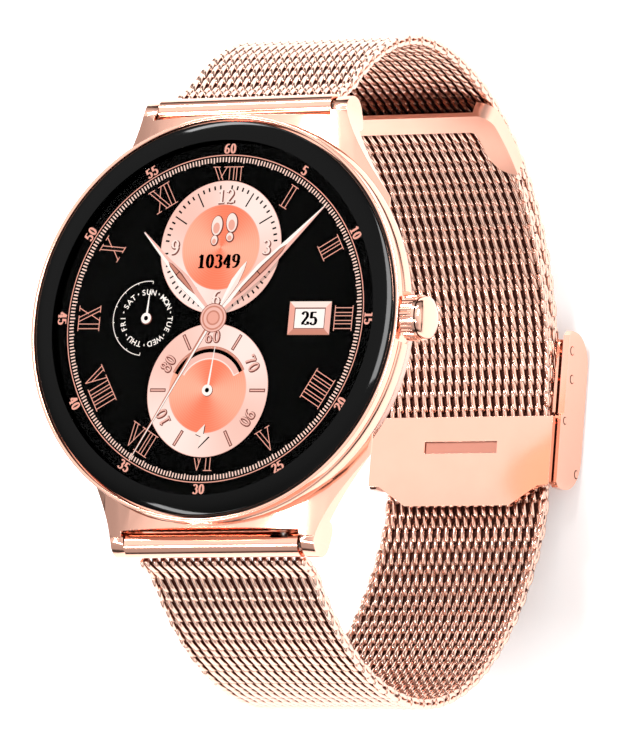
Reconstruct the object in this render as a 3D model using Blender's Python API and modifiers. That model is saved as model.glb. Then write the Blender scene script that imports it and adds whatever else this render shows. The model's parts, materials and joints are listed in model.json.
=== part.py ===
"""Round smartwatch on a closed woven-mesh band with a sliding fold-over clasp.

Metres, +Z up. The watch rests on the flat outer face of its clasp cover, and the origin is on
that face, straight below the centre of the dial. The dial faces +Z, 12 o'clock is +Y and the
crown is at +X. Heights in the code are millimetres from the dial plane, negative towards the wrist.
"""

import math

import bmesh
import bpy
from mathutils import Matrix, Vector

MM = 0.001
DIAL_HEIGHT = 65.9
GAP = 0.3
WELD = 0.005

# Head
GLASS_R = 21.0
GLASS_EDGE = 0.12
GLASS_TOP = 0.6
BEZEL_IN_R = 21.25
BEZEL_OUT_R = 21.65
BEZEL_TOP = 0.08
BEZEL_BOTTOM = -0.92
CASE_TOP = -1.2
BULGE_R = 1.5
BULGE_CENTRE = (20.4, -2.2)
CASE_BOTTOM = -7.0
DISPLAY_R = 19.9
WELL_R = 20.2
WELL_FLOOR = -2.5
CHAMBER_R = 18.6
BACK_LEDGE = -6.4
BACK_SEAT_R = 19.0
BACK_R = 18.7
BACK_SCREW_R = 16.3
SENSOR_R = 9.0
SENSOR_BOTTOM = -9.3

# Lugs and strap bars
LUG_HALF = 12.0
LUG_ROOT = (17.6, 12.7)
LUG_WAIST = (12.65, 19.5)
LUG_GAP_HALF = 10.45
LUG_NOTCH_Y = 22.0
LUG_CROWN_R = 37.0
LUG_CROWN_TOP = -1.25
LUG_ROUND = 0.55
FOOT_R = 1.9
FOOT_CENTRE = (22.6, -5.2)
BAR_Y = 23.25
BAR_Z = -4.5
BAR_R = 1.35
BAR_BORE_R = 0.95
BAR_HALF = 10.2
PIN_R = 0.4
PIN_HOLE_R = 0.52
PIN_REACH = 11.2
RELEASE_TRAVEL = 0.9
LEVER_X = 8.4
LEVER_REACH = 1.7
LEVER_TILT = {"upper": 160, "lower": -45}

# Crown
CROWN_Z = -2.1
CROWN_R = 2.4
RECESS_R = 2.75
RECESS_FLOOR = 20.95
KNOB_INNER = 21.9
KNURL_END = 23.15
KNOB_OUTER = 23.5
COLLAR_R = 2.34
CAP_R = 2.2
CAP_GAP = 0.1
CAP_TIP = 24.7
KNURLS = 30
STEM_R = 0.4
STEM_END = 16.45

# Band
STRAP_HALF = 9.85
STRAP_THICK = 1.3
UPPER_CENTRE_Z = -27.5
UPPER_TOP_B = 28.35
UPPER_LOW_B = 34.85
LOWER_CENTRE_Z = -32.0
LOWER_TOP_B = 33.65
LOWER_LOW_B = 30.85
LOOP_A = 35.15
TAIL_DROP = 1.62
TAIL_END_DEG = 25.0
RAMP = (-12.0, 1.0)
STRAP_STEPS = 26
RAMP_STEPS = 10

# Clasp
CHEEK_IN = 10.75
CHEEK_OUT = 11.5
CLASP_Y0 = -6.9
CLASP_Y1 = 10.7
CLASP_OUTER = -65.9
CHEEK_OUTER = -65.6
RIM_LOW_HALF = -59.9
RIM_HIGH_HALF = -60.6
RIM_STEP_Y = 1.0
PLATE_TOP = -58.9
PLATE_THICK = 0.7
PLATE_HALF = 11.0
PLATE_EDGE = 0.8
PLATE_SHOULDER = -6.8
TONGUE_HALF = 6.4
TONGUE_END = -9.1
SLOT_HALF = 4.4
SLOT_Y = (-3.25, -1.95)
EAR_IN = 10.1
EAR_OUT = 10.45
PIVOT = (0.6, -60.9)
PIVOT_R = 0.35
HINGE = (-4.7, -64.6)
HINGE_R = 0.4
BARREL_R = 0.95
COVER_HALF = 10.3
COVER_END = 10.3
COVER_WALL = -63.8
COVER_THICK = 0.8
BRIDGE = ((-5.9, -63.3), (-2.4, -62.7))
BRACKET_Y = (-1.1, 1.3)
BRACKET_Z = (-63.0, -61.75)
RAIL_Y = (1.5, 9.6)
RAIL_Z = (-62.4, -60.5)
RIVETS = ((8.5, -61.5), (5.4, -61.9))
RIVET_R = 0.42

# Tail tip
TIP_END_DEG = 21.6
TIP_SPAN_DEG = 18.0
TIP_STEPS = 12
TIP_BAR = 3.0
TIP_ARM = 9.6
TIP_ARM_WIDTH = 2.7
TIP_FOOT = 3.1
TIP_HALF = 10.4
TIP_CORNER = 2.2
TIP_FILLET = 0.8
TIP_GAP = 0.15
TIP_THICK = 0.55
TIP_WALL = 0.35
TIP_RIM = 0.03

FINE_ROUND = 80
ROUND = 56
SMALL_ROUND = 24

ROSE = (0.83, 0.52, 0.42, 1.0)
BLACK = (0.006, 0.006, 0.008, 1.0)


def clear_scene():
    for obj in list(bpy.data.objects):
        bpy.data.objects.remove(obj)


def new_collection(name, hidden=False):
    collection = bpy.data.collections.new(name)
    collection.hide_render = hidden
    bpy.context.scene.collection.children.link(collection)
    return collection


def material(name, colour, roughness, metallic):
    made = bpy.data.materials.new(name)
    made.use_nodes = True
    shader = made.node_tree.nodes["Principled BSDF"]
    shader.inputs["Base Color"].default_value = colour
    shader.inputs["Roughness"].default_value = roughness
    shader.inputs["Metallic"].default_value = metallic
    return made


def link(obj, collection, finish=None):
    for old in list(obj.users_collection):
        old.objects.unlink(obj)
    collection.objects.link(obj)
    if finish:
        obj.data.materials.append(finish)
    if collection is cutters:
        obj.hide_render = True
        obj.display_type = "WIRE"
    return obj


def at(x, y, z):
    """World position of a point given in millimetres from the dial's centre."""
    return Vector((x * MM, y * MM, (z + DIAL_HEIGHT) * MM))


def smooth(obj):
    obj.data.shade_smooth()
    obj.data.set_sharp_from_angle(angle=math.radians(35))
    return obj


def arc(centre, radius, start, end, steps):
    """Points on a circular arc; angles in degrees."""
    found = []
    for i in range(steps + 1):
        angle = math.radians(start + (end - start) * i / steps)
        found.append((centre[0] + radius * math.cos(angle), centre[1] + radius * math.sin(angle)))
    return found


def bend(start, pull, end, steps):
    """Points on a smooth bend from start to end, drawn towards pull."""
    found = []
    for i in range(steps + 1):
        share = i / steps
        weights = ((1 - share) ** 2, 2 * share * (1 - share), share**2)
        found.append(tuple(sum(w * p[k] for w, p in zip(weights, (start, pull, end))) for k in (0, 1)))
    return found


def turned(name, profile, collection, finish=None, ring=False, steps=ROUND, axis="Z", place=(0, 0, 0)):
    """A lathe shape: profile is (radius, height) in millimetres, running down the outer side."""
    mesh = bpy.data.meshes.new(name)
    points = [(r * MM, 0, h * MM) for r, h in profile]
    edges = [(i, i + 1) for i in range(len(points) - 1)]
    if ring:
        edges.append((len(points) - 1, 0))
    mesh.from_pydata(points, edges, [])
    obj = bpy.data.objects.new(name, mesh)
    screw = obj.modifiers.new("turn", "SCREW")
    screw.steps = steps
    screw.render_steps = steps
    screw.use_merge_vertices = True
    screw.merge_threshold = WELD * MM
    screw.use_smooth_shade = False
    obj.location = at(*place)
    if axis == "X":
        obj.rotation_euler = (0, math.radians(90), 0)
    return link(obj, collection, finish)


def rod(name, radius, x0, x1, y, z, collection, finish=None, steps=SMALL_ROUND):
    """A round bar along X between x0 and x1."""
    profile = [(0, x1), (radius, x1), (radius, x0), (0, x0)]
    return turned(name, profile, collection, finish, steps=steps, axis="X", place=(0, y, z))


def tube(name, outer, inner, x0, x1, y, z, collection, finish=None, steps=SMALL_ROUND):
    """A round tube along X between x0 and x1."""
    profile = [(outer, x1), (outer, x0), (inner, x0), (inner, x1)]
    return turned(name, profile, collection, finish, True, steps, "X", (0, y, z))


def box(name, low, high, collection, finish=None, bevel=0.0):
    """A rectangular block between two corners in millimetres from the dial's centre."""
    mesh = bpy.data.meshes.new(name)
    shape = bmesh.new()
    bmesh.ops.create_cube(shape, size=1.0)
    size = [(b - a) * MM for a, b in zip(low, high)]
    bmesh.ops.scale(shape, vec=size, verts=shape.verts)
    shape.to_mesh(mesh)
    shape.free()
    obj = bpy.data.objects.new(name, mesh)
    obj.location = at(*[(a + b) / 2 for a, b in zip(low, high)])
    link(obj, collection, finish)
    if bevel:
        add_bevel(obj, bevel)
    return obj


def add_bevel(obj, width, segments=2, angle=50):
    bevel = obj.modifiers.new("edges", "BEVEL")
    bevel.width = width * MM
    bevel.segments = segments
    bevel.limit_method = "ANGLE"
    bevel.angle_limit = math.radians(angle)
    return bevel


def plate(name, outlines, low, high, collection, finish=None, along="Z", origin=None):
    """Flat outlines extruded from low to high along an axis, as a welded mesh.

    Along Z an outline is (x, y) in millimetres; along X it is (y, z from the dial plane).
    """
    curve = bpy.data.curves.new(name, "CURVE")
    curve.dimensions = "2D"
    curve.fill_mode = "BOTH"
    curve.extrude = (high - low) / 2 * MM
    for outline in outlines:
        spline = curve.splines.new("POLY")
        spline.points.add(len(outline) - 1)
        for point, (a, b) in zip(spline.points, outline):
            point.co = (a * MM, b * MM, 0, 1)
        spline.use_cyclic_u = True
    flat = bpy.data.objects.new(name + "_outline", curve)
    bpy.context.scene.collection.objects.link(flat)
    if along == "Z":
        flat.matrix_world = Matrix.Translation(at(0, 0, (low + high) / 2))
    else:
        turn = Matrix(((0, 0, 1), (1, 0, 0), (0, 1, 0))).to_4x4()
        flat.matrix_world = Matrix.Translation(at((low + high) / 2, 0, 0)) @ turn
    bpy.context.view_layer.update()
    graph = bpy.context.evaluated_depsgraph_get()
    mesh = bpy.data.meshes.new_from_object(flat.evaluated_get(graph))
    mesh.name = name
    mesh.transform(flat.matrix_world)
    bpy.data.objects.remove(flat)
    weld(mesh)
    obj = bpy.data.objects.new(name, mesh)
    if origin:
        set_origin(obj, origin)
    return link(obj, collection, finish)


def weld(mesh):
    shape = bmesh.new()
    shape.from_mesh(mesh)
    bmesh.ops.remove_doubles(shape, verts=shape.verts, dist=0.000002)
    bmesh.ops.recalc_face_normals(shape, faces=shape.faces)
    shape.to_mesh(mesh)
    shape.free()


def set_origin(obj, origin):
    """Moves the object's origin to a point in millimetres without moving its mesh."""
    place = at(*origin)
    obj.data.transform(Matrix.Translation(obj.location - place))
    obj.location = place


def join(obj):
    """Merges points that a cut left almost on top of each other."""
    made = obj.modifiers.new("join", "WELD")
    made.merge_threshold = WELD * MM


def boolean(obj, tool, operation="DIFFERENCE"):
    cut = obj.modifiers.new(tool.name, "BOOLEAN")
    cut.operation = operation
    cut.object = tool
    cut.solver = "EXACT"
    return obj


# ---------------------------------------------------------------- head


def glass_profile():
    """Flat face that rolls off to a thin edge, then a flat underside."""
    profile = [(0, GLASS_TOP)]
    for share in (0.78, 0.87, 0.92, 0.96, 0.985, 1.0):
        fall = (GLASS_TOP - GLASS_EDGE) * share**14
        profile.append((GLASS_R * share, GLASS_TOP - fall))
    return profile + [(GLASS_R, 0.0), (0, 0.0)]


def case_profile():
    """Rounded side, tapering to the case back."""
    side = arc(BULGE_CENTRE, BULGE_R, 38, -58, 8)
    return [(0, CASE_TOP), (21.45, CASE_TOP)] + side + [
        (20.75, -4.3),
        (20.4, -5.6),
        (19.95, CASE_BOTTOM),
        (0, CASE_BOTTOM),
    ]


def lug_plan():
    """Plan of both hoods: flared into the case, straight at the tips, notched for the strap."""
    half = bend(LUG_ROOT, LUG_WAIST, (LUG_HALF, 23.0), 9)
    half += [(LUG_HALF, 24.9), (LUG_GAP_HALF, 24.9), (LUG_GAP_HALF, LUG_NOTCH_Y)]
    upper = half + [(-x, y) for x, y in reversed(half)]
    lower = [(-x, -y) for x, y in upper]
    return upper + lower


def lug_side():
    """Side view of both hoods: level underside, round foot round each strap pin."""
    foot = arc(FOOT_CENTRE, FOOT_R, 90, -174, 18)
    half = [(FOOT_CENTRE[0], 0.5)] + foot
    return half + [(-y, z) for y, z in reversed(half)]


def build_case():
    case = plate("case_body", [lug_plan()], -7.4, 0.4, parts, rose)
    boolean(case, plate("cut_lug_side", [lug_side()], -19, 19, cutters, along="X"), "INTERSECT")
    crown_top = turned(
        "cut_lug_crown",
        [(0, 30), (LUG_CROWN_R, 30), (LUG_CROWN_R, -30), (0, -30)],
        cutters,
        steps=120,
        place=(0, 0, LUG_CROWN_TOP - LUG_CROWN_R),
    )
    crown_top.rotation_euler = (math.radians(90), 0, 0)
    boolean(case, crown_top, "INTERSECT")
    join(case)
    add_bevel(case, LUG_ROUND, segments=3, angle=40)
    boolean(case, turned("cut_case_drum", case_profile(), cutters, steps=FINE_ROUND), "UNION")
    chamber = [
        (0, 2.0),
        (WELL_R, 2.0),
        (WELL_R, WELL_FLOOR),
        (CHAMBER_R, WELL_FLOOR),
        (CHAMBER_R, BACK_LEDGE),
        (BACK_SEAT_R, BACK_LEDGE),
        (BACK_SEAT_R, -9.0),
        (0, -9.0),
    ]
    boolean(case, turned("cut_chamber", chamber, cutters, steps=FINE_ROUND))
    boolean(case, rod("cut_crown_recess", RECESS_R, RECESS_FLOOR, 26, 0, CROWN_Z, cutters, steps=40))
    boolean(case, rod("cut_crown_bore", 1.3, 17, 22, 0, CROWN_Z, cutters))
    for side, y in (("upper", BAR_Y), ("lower", -BAR_Y)):
        pins = rod(f"cut_{side}_pin_holes", PIN_HOLE_R, -11.45, 11.45, y, BAR_Z, cutters)
        boolean(case, pins)
        groove = rod(f"cut_{side}_groove", BAR_R + GAP, -LUG_GAP_HALF, LUG_GAP_HALF, y, BAR_Z, cutters)
        boolean(case, groove)
    finger = rod("cut_lower_finger", 2.05, LEVER_X - 1.6, LEVER_X + 0.75, -BAR_Y, BAR_Z, cutters)
    boolean(case, finger)
    join(case)
    return case


def build_head():
    smooth(turned("cover_glass", glass_profile(), parts, glass, steps=FINE_ROUND))
    bezel = [
        (BEZEL_IN_R + 0.12, BEZEL_TOP),
        (BEZEL_OUT_R - 0.14, BEZEL_TOP),
        (BEZEL_OUT_R, BEZEL_TOP - 0.14),
        (BEZEL_OUT_R, BEZEL_BOTTOM),
        (BEZEL_IN_R, BEZEL_BOTTOM),
        (BEZEL_IN_R, BEZEL_TOP - 0.12),
    ]
    smooth(turned("bezel_ring", bezel, parts, polished, ring=True, steps=FINE_ROUND))
    seal = [(20.95, -0.3), (20.95, -0.9), (20.25, -0.9), (20.25, -0.3)]
    turned("glass_gasket", seal, parts, rubber, ring=True)
    turned("display_panel", [(0, -0.3), (DISPLAY_R, -0.3), (DISPLAY_R, -1.0), (0, -1.0)], parts, black)
    frame_ring = [(19.8, -1.3), (19.8, -2.2), (16.2, -2.2), (16.2, -1.3)]
    frame = turned("display_frame", frame_ring, parts, dark_plastic, ring=True)
    boolean(frame, box("cut_frame_notch", (13, -2.6, -3), (22, 2.6, 0), cutters))
    build_case()
    back = [
        (0, -6.7),
        (BACK_R, -6.7),
        (BACK_R, -7.3),
        (BACK_R - 0.9, -7.8),
        (SENSOR_R + 1.2, -8.6),
        (SENSOR_R + 0.3, -8.6),
        (SENSOR_R + 0.3, -7.6),
        (0, -7.6),
    ]
    rear = turned("case_back", back, parts, polished, steps=ROUND)
    window = [
        (0, -7.9),
        (SENSOR_R, -7.9),
        (SENSOR_R, -8.8),
        (SENSOR_R - 0.7, SENSOR_BOTTOM),
        (0, SENSOR_BOTTOM),
    ]
    smooth(turned("sensor_window", window, parts, black, steps=ROUND))
    for name, x in (("charge_contact_left", -2.0), ("charge_contact_right", 2.0)):
        place = (x, -12.6, 0)
        contact = [(0, -8.0), (0.8, -8.0), (0.8, -8.75), (0, -8.75)]
        turned(name, contact, parts, gold, steps=SMALL_ROUND, place=place)
        pocket = [(0, -7.7), (1.1, -7.7), (1.1, -9), (0, -9)]
        boolean(rear, turned(f"cut_{name}", pocket, cutters, steps=SMALL_ROUND, place=place))
    build_back_screws(rear)


def build_back_screws(rear):
    """Four screws through the back's rim into the case."""
    for i, angle in enumerate((45, 135, 225, 315)):
        x = BACK_SCREW_R * math.cos(math.radians(angle))
        y = BACK_SCREW_R * math.sin(math.radians(angle))
        place = (x, y, 0)
        screw = [(0, -5.0), (0.4, -5.0), (0.4, -7.1), (0.85, -7.1), (0.85, -7.75), (0, -7.75)]
        turned(f"back_screw_{i + 1}", screw, parts, steel, steps=16, place=place)
        hole = [(0, -6.5), (0.7, -6.5), (0.7, -6.95), (1.15, -6.95), (1.15, -9), (0, -9)]
        boolean(rear, turned(f"cut_back_screw_{i + 1}", hole, cutters, steps=16, place=place))


def build_inside():
    board = turned("main_board", [(0, -3.3), (18.0, -3.3), (18.0, -4.0), (0, -4.0)], parts, board_green)
    for i, angle in enumerate((45, 135, 225, 315)):
        x = BACK_SCREW_R * math.cos(math.radians(angle))
        y = BACK_SCREW_R * math.sin(math.radians(angle))
        boss = [(0, -3), (1.0, -3), (1.0, -4.3), (0, -4.3)]
        boolean(board, turned(f"cut_board_{i + 1}", boss, cutters, steps=16, place=(x, y, 0)))
    box("battery", (-6.0, -11.0, -5.7), (11.0, 11.0, -4.3), parts, battery_grey, 0.3)
    motor = [(0, -4.4), (3.2, -4.4), (3.2, -5.7), (0, -5.7)]
    turned("vibration_motor", motor, parts, steel, steps=32, place=(-11.5, -5.2, 0))
    box("speaker", (-14.0, 0.5, -5.7), (-7.6, 8.5, -4.4), parts, dark_plastic, 0.3)
    box("processor_shield", (-8, -7, -3.0), (5, 6, -2.5), parts, steel, 0.15)
    sensors = [(0, -5.95), (10.0, -5.95), (10.0, -6.4), (0, -6.4)]
    turned("sensor_board", sensors, parts, board_green, steps=48)


def build_crown():
    teeth = []
    for i in range(KNURLS):
        for share, radius in ((0.0, 2.28), (0.3, CROWN_R), (0.6, CROWN_R), (0.9, 2.28)):
            angle = 2 * math.pi * (i + share) / KNURLS
            teeth.append((radius * math.cos(angle), CROWN_Z + radius * math.sin(angle)))
    knob = plate("crown_knob", [teeth], KNOB_INNER, KNURL_END, parts, rose, "X", (KNOB_INNER, 0, CROWN_Z))
    collar = rod("cut_knob_collar", COLLAR_R, KNURL_END - 0.4, KNOB_OUTER, 0, CROWN_Z, cutters, steps=48)
    boolean(knob, collar, "UNION")
    boolean(knob, rod("cut_knob_bore", 0.7, 21, 23.0, 0, CROWN_Z, cutters))
    tip = [(0, CAP_TIP), (0.8, CAP_TIP - 0.05), (1.5, CAP_TIP - 0.2), (CAP_R - 0.12, CAP_TIP - 0.46)]
    tip += [(CAP_R, CAP_TIP - 0.65), (CAP_R, KNOB_OUTER + CAP_GAP), (0, KNOB_OUTER + CAP_GAP)]
    smooth(turned("crown_cap", tip, parts, polished, steps=48, axis="X", place=(0, 0, CROWN_Z)))
    rod("crown_stem", STEM_R, STEM_END, 22.7, 0, CROWN_Z, parts, steel)
    tube("stem_clip", 0.85, 0.5, 19.0, 19.3, 0, CROWN_Z, parts, steel)
    tube("crown_tube", 1.0, 0.55, 19.6, 20.9, 0, CROWN_Z, parts, brass)
    tube("encoder_wheel", 0.85, 0.55, 17.2, 18.0, 0, CROWN_Z, parts, dark_plastic)
    box("crown_switch", (14.8, -1.2, -2.9), (16.2, 1.2, -1.5), parts, steel)


# ---------------------------------------------------------------- band


def ellipse_point(side, low, centre, top, degrees, inset=0.0):
    """Point of a loop quarter; 0 degrees is the widest place, +90 the top, -90 the bottom."""
    angle = math.radians(degrees)
    height = top if degrees > 0 else low
    y = side * (LOOP_A - inset) * math.cos(angle)
    return y, centre + (height - inset) * math.sin(angle)


def upper_line():
    """Centreline of the 12 o'clock strap, from its end bar round to inside the clasp."""
    line = [(BAR_Y + 1.25, BAR_Z - 1.35)]
    for i in range(STRAP_STEPS + 1):
        degrees = 41.0 - (41.0 + 87.35) * i / STRAP_STEPS
        line.append(ellipse_point(1, UPPER_LOW_B, UPPER_CENTRE_Z, UPPER_TOP_B, degrees))
    return line


def loop_bottom(y, low, centre, inset=0.0):
    """Height of a loop quarter's lower half above a place y."""
    return centre - (low - inset) * math.sqrt(1 - (y / (LOOP_A - inset)) ** 2)


def lower_line():
    """Centreline of the 6 o'clock strap: round the loop, through the clasp, up inside the other."""
    line = [(-BAR_Y - 1.25, BAR_Z - 1.35)]
    start, end = RAMP
    low_end = -math.degrees(math.acos(start / -LOOP_A))
    for i in range(STRAP_STEPS):
        degrees = 43.5 + (low_end - 43.5) * i / STRAP_STEPS
        line.append(ellipse_point(-1, LOWER_LOW_B, LOWER_CENTRE_Z, LOWER_TOP_B, degrees))
    for i in range(RAMP_STEPS + 1):
        share = i / RAMP_STEPS
        y = start + (end - start) * share
        weight = share * share * (3 - 2 * share)
        outside = loop_bottom(y, LOWER_LOW_B, LOWER_CENTRE_Z)
        inside = loop_bottom(y, UPPER_LOW_B, UPPER_CENTRE_Z, TAIL_DROP)
        line.append((y, outside + (inside - outside) * weight))
    tail_start = -math.degrees(math.acos(end / (LOOP_A - TAIL_DROP)))
    for i in range(1, STRAP_STEPS):
        share = i / (STRAP_STEPS - 1)
        line.append(tail_point(tail_start + (-TAIL_END_DEG - tail_start) * share))
    return line


def tail_point(degrees):
    """Centreline of the 6 o'clock strap where it lies inside the other one."""
    return ellipse_point(1, UPPER_LOW_B, UPPER_CENTRE_Z, UPPER_TOP_B, degrees, TAIL_DROP)


def band_outline(line, inward, outward):
    """Closed outline between two distances from a centreline; inward faces the wrist on the tail."""
    sides = ([], [])
    for i, (y, z) in enumerate(line):
        before = line[max(i - 1, 0)]
        after = line[min(i + 1, len(line) - 1)]
        along = Vector((after[0] - before[0], after[1] - before[1])).normalized()
        sides[0].append((y - along.y * inward, z + along.x * inward))
        sides[1].append((y + along.y * outward, z - along.x * outward))
    return sides[0] + sides[1][::-1]


def build_strap(name, line, side):
    outline = band_outline(line, STRAP_THICK / 2, STRAP_THICK / 2)
    plate(name, [outline], -STRAP_HALF, STRAP_HALF, parts, rose, "X", (0, side * BAR_Y, BAR_Z))


def build_end_bar(side, sign):
    y = sign * BAR_Y
    bar = tube(f"{side}_end_bar", BAR_R, BAR_BORE_R, -BAR_HALF, BAR_HALF, y, BAR_Z, parts, polished, 32)
    slot = box(
        f"cut_{side}_slot",
        (LEVER_X - 0.6 - RELEASE_TRAVEL, -0.55, 0),
        (LEVER_X + 0.6, 0.55, 3),
        cutters,
    )
    slot.location = at(LEVER_X - RELEASE_TRAVEL / 2, y, BAR_Z)
    tilt = Matrix.Rotation(math.radians(LEVER_TILT[side]), 4, "X")
    slot.data.transform(Matrix.Translation((0, 0, 1.5 * MM)))
    slot.data.transform(tilt)
    boolean(bar, slot)
    body = [(0, 6.3), (0.7, 6.3), (0.7, -9.9), (PIN_R, -9.9), (PIN_R, -PIN_REACH), (0, -PIN_REACH)]
    turned(f"{side}_spring_bar", body, parts, steel, steps=SMALL_ROUND, axis="X", place=(0, y, BAR_Z))
    shank = [(0, PIN_REACH), (PIN_R, PIN_REACH), (PIN_R, 9.9), (0.7, 9.9), (0.7, 7.5), (0, 7.5)]
    pin = turned(
        f"{side}_release_pin", shank, parts, steel, steps=SMALL_ROUND, axis="X", place=(0, y, BAR_Z)
    )
    lever = turned(
        f"cut_{side}_lever",
        [(0, LEVER_REACH), (0.35, LEVER_REACH), (0.35, 0), (0, 0)],
        cutters,
        steps=16,
        place=(LEVER_X, y, BAR_Z),
    )
    lever.rotation_euler = (math.radians(LEVER_TILT[side]), 0, 0)
    boolean(pin, lever, "UNION")


# ---------------------------------------------------------------- clasp


def cheek_outline():
    """Side view of the clasp: flat rims inside, big rounded corners outside."""
    outer_top = arc((CLASP_Y1 - 3.4, CHEEK_OUTER + 3.4), 3.4, 0, -90, 8)
    outer_low = arc((CLASP_Y0 + 3.9, CHEEK_OUTER + 3.9), 3.9, -90, -180, 8)
    rims = [
        (CLASP_Y0, RIM_LOW_HALF - 0.5),
        (CLASP_Y0 + 0.5, RIM_LOW_HALF),
        (RIM_STEP_Y, RIM_LOW_HALF),
        (RIM_STEP_Y + 0.4, RIM_HIGH_HALF),
        (CLASP_Y1 - 0.6, RIM_HIGH_HALF),
        (CLASP_Y1, RIM_HIGH_HALF - 0.6),
    ]
    return outer_top + outer_low + rims


def build_frame():
    """Two cheeks joined by a bridge under the 6 o'clock strap."""
    outline = cheek_outline()
    frame = plate("clasp_frame", [outline], CHEEK_IN, CHEEK_OUT, parts, polished, "X")
    other = plate("cut_other_cheek", [outline], -CHEEK_OUT, -CHEEK_IN, cutters, along="X")
    reach = CHEEK_IN + 0.3
    low = (-reach, BRIDGE[0][0], BRIDGE[0][1])
    bridge = box("cut_clasp_bridge", low, (reach, BRIDGE[1][0], BRIDGE[1][1]), cutters)
    boolean(boolean(frame, other, "UNION"), bridge, "UNION")
    pin = (CHEEK_OUT + 0.5) * 2
    boolean(frame, rod("cut_hinge_bore", HINGE_R + 0.1, -pin, pin, *HINGE, cutters))
    boolean(frame, rod("cut_pivot_bore", PIVOT_R + 0.1, -pin, pin, *PIVOT, cutters))
    for i, (y, z) in enumerate(RIVETS):
        boolean(frame, rod(f"cut_rivet_bore_{i + 1}", RIVET_R + 0.1, -pin, pin, y, z, cutters))
    add_bevel(frame, 0.2, segments=2, angle=60)


def build_cover():
    """Shallow outer tray with a hinge barrel at its 6 o'clock end."""
    half = COVER_HALF - 0.1
    low, high = (-half, HINGE[0], CLASP_OUTER), (half, COVER_END, COVER_WALL)
    cover = box("clasp_cover", low, high, parts, polished)
    wall = 0.7
    low = (-half + wall, HINGE[0] + 1.6, CLASP_OUTER + COVER_THICK)
    boolean(cover, box("cut_cover_tray", low, (half - wall, COVER_END - wall, -60), cutters))
    boolean(cover, rod("cut_cover_barrel", BARREL_R, -half, half, *HINGE, cutters), "UNION")
    boolean(cover, rod("cut_cover_bore", HINGE_R + 0.1, -12, 12, *HINGE, cutters))
    set_origin(cover, (0, *HINGE))
    rod("cover_hinge_pin", HINGE_R, -CHEEK_OUT - 0.05, CHEEK_OUT + 0.05, *HINGE, parts, steel)


def tongue_outline():
    """Lock plate in plan: wide shoulders and a tapered tongue."""
    half = [
        (PLATE_HALF, PLATE_EDGE),
        (PLATE_HALF, PLATE_SHOULDER),
        (PLATE_HALF - 1.3, PLATE_SHOULDER - 0.15),
        (TONGUE_HALF, TONGUE_END),
    ]
    return half + [(-x, y) for x, y in reversed(half)]


def build_lock_plate():
    bottom = PLATE_TOP - PLATE_THICK
    lock = plate("lock_plate", [tongue_outline()], bottom, PLATE_TOP, parts, polished)
    set_origin(lock, (0, *PIVOT))
    slot = box(
        "cut_slot", (-SLOT_HALF, SLOT_Y[0], bottom - 1), (SLOT_HALF, SLOT_Y[1], PLATE_TOP + 1), cutters
    )
    boolean(lock, slot)
    round_end = arc(PIVOT, 0.85, 0, -180, 8)
    ear = round_end + [(PIVOT[0] - 0.85, bottom + 0.2), (PLATE_EDGE - 0.1, bottom + 0.2)]
    for side, sign in (("right", 1), ("left", -1)):
        low, high = sorted((sign * EAR_IN, sign * EAR_OUT))
        boolean(lock, plate(f"cut_ear_{side}", [ear], low, high, cutters, along="X"), "UNION")
        low, high = sorted((sign * EAR_IN, sign * (CHEEK_OUT + 0.05)))
        rod(f"lock_pivot_{side}", PIVOT_R, low, high, *PIVOT, parts, steel)
    boolean(lock, rod("cut_ear_bore", PIVOT_R + 0.1, -12, 12, *PIVOT, cutters))


def build_rails():
    """Side rails inside the cheeks, each held by two rivets."""
    for side, sign in (("right", 1), ("left", -1)):
        low, high = sorted((sign * EAR_IN, sign * EAR_OUT))
        rail = box(
            f"guide_rail_{side}", (low, RAIL_Y[0], RAIL_Z[0]), (high, RAIL_Y[1], RAIL_Z[1]), parts, rose
        )
        for i, (y, z) in enumerate(RIVETS):
            bore = rod(f"cut_rail_{side}_{i + 1}", RIVET_R + 0.1, -12, 12, y, z, cutters)
            boolean(rail, bore)
            low, high = sorted((sign * EAR_IN, sign * (CHEEK_OUT + 0.05)))
            rod(f"rail_rivet_{side}_{i + 1}", RIVET_R, low, high, y, z, parts, steel)


def build_bracket():
    """End bar of the 12 o'clock strap, with two studs that the cover hooks under."""
    low = (-STRAP_HALF, BRACKET_Y[0], BRACKET_Z[0])
    bracket = box("end_bracket", low, (STRAP_HALF, BRACKET_Y[1], BRACKET_Z[1]), parts, polished, 0.25)
    middle = sum(BRACKET_Y) / 2
    for i, x in enumerate((-6.0, 6.0)):
        profile = [(0, -62.4), (0.8, -62.4), (0.8, -64.3), (0, -64.3)]
        stud = turned(f"cut_stud_{i + 1}", profile, cutters, steps=SMALL_ROUND, place=(x, middle, 0))
        boolean(bracket, stud, "UNION")


def tip_plan():
    """Plan of the cap, as (x, distance from its end): a bar with an arm down each edge."""
    half = arc((TIP_HALF - TIP_CORNER, -TIP_CORNER), TIP_CORNER, 90, 0, 8)
    for i in range(9):
        angle = math.radians(90 - 90 * i / 8)
        across = TIP_HALF - TIP_ARM_WIDTH * math.cos(angle)
        half.append((across, TIP_FOOT - TIP_ARM - TIP_FOOT * math.sin(angle)))
    inner = TIP_HALF - TIP_ARM_WIDTH
    half += arc((inner - TIP_FILLET, -TIP_BAR - TIP_FILLET), TIP_FILLET, 0, 90, 5)
    return half + [(-x, y) for x, y in reversed(half)]


def tip_hook(side):
    """Plan of the wall that wraps one edge and corner of the strap's end, just inside the cap's rim."""
    centre = (TIP_HALF - TIP_CORNER, -TIP_CORNER)
    outer = TIP_HALF - TIP_RIM
    foot = TIP_RIM - TIP_ARM
    outline = arc(centre, TIP_CORNER - TIP_RIM, 85, 0, 8) + [(outer, foot), (outer - TIP_WALL, foot)]
    outline += arc(centre, TIP_CORNER - TIP_RIM - TIP_WALL, 0, 85, 8)
    return [(side * x, y) for x, y in outline]


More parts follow.
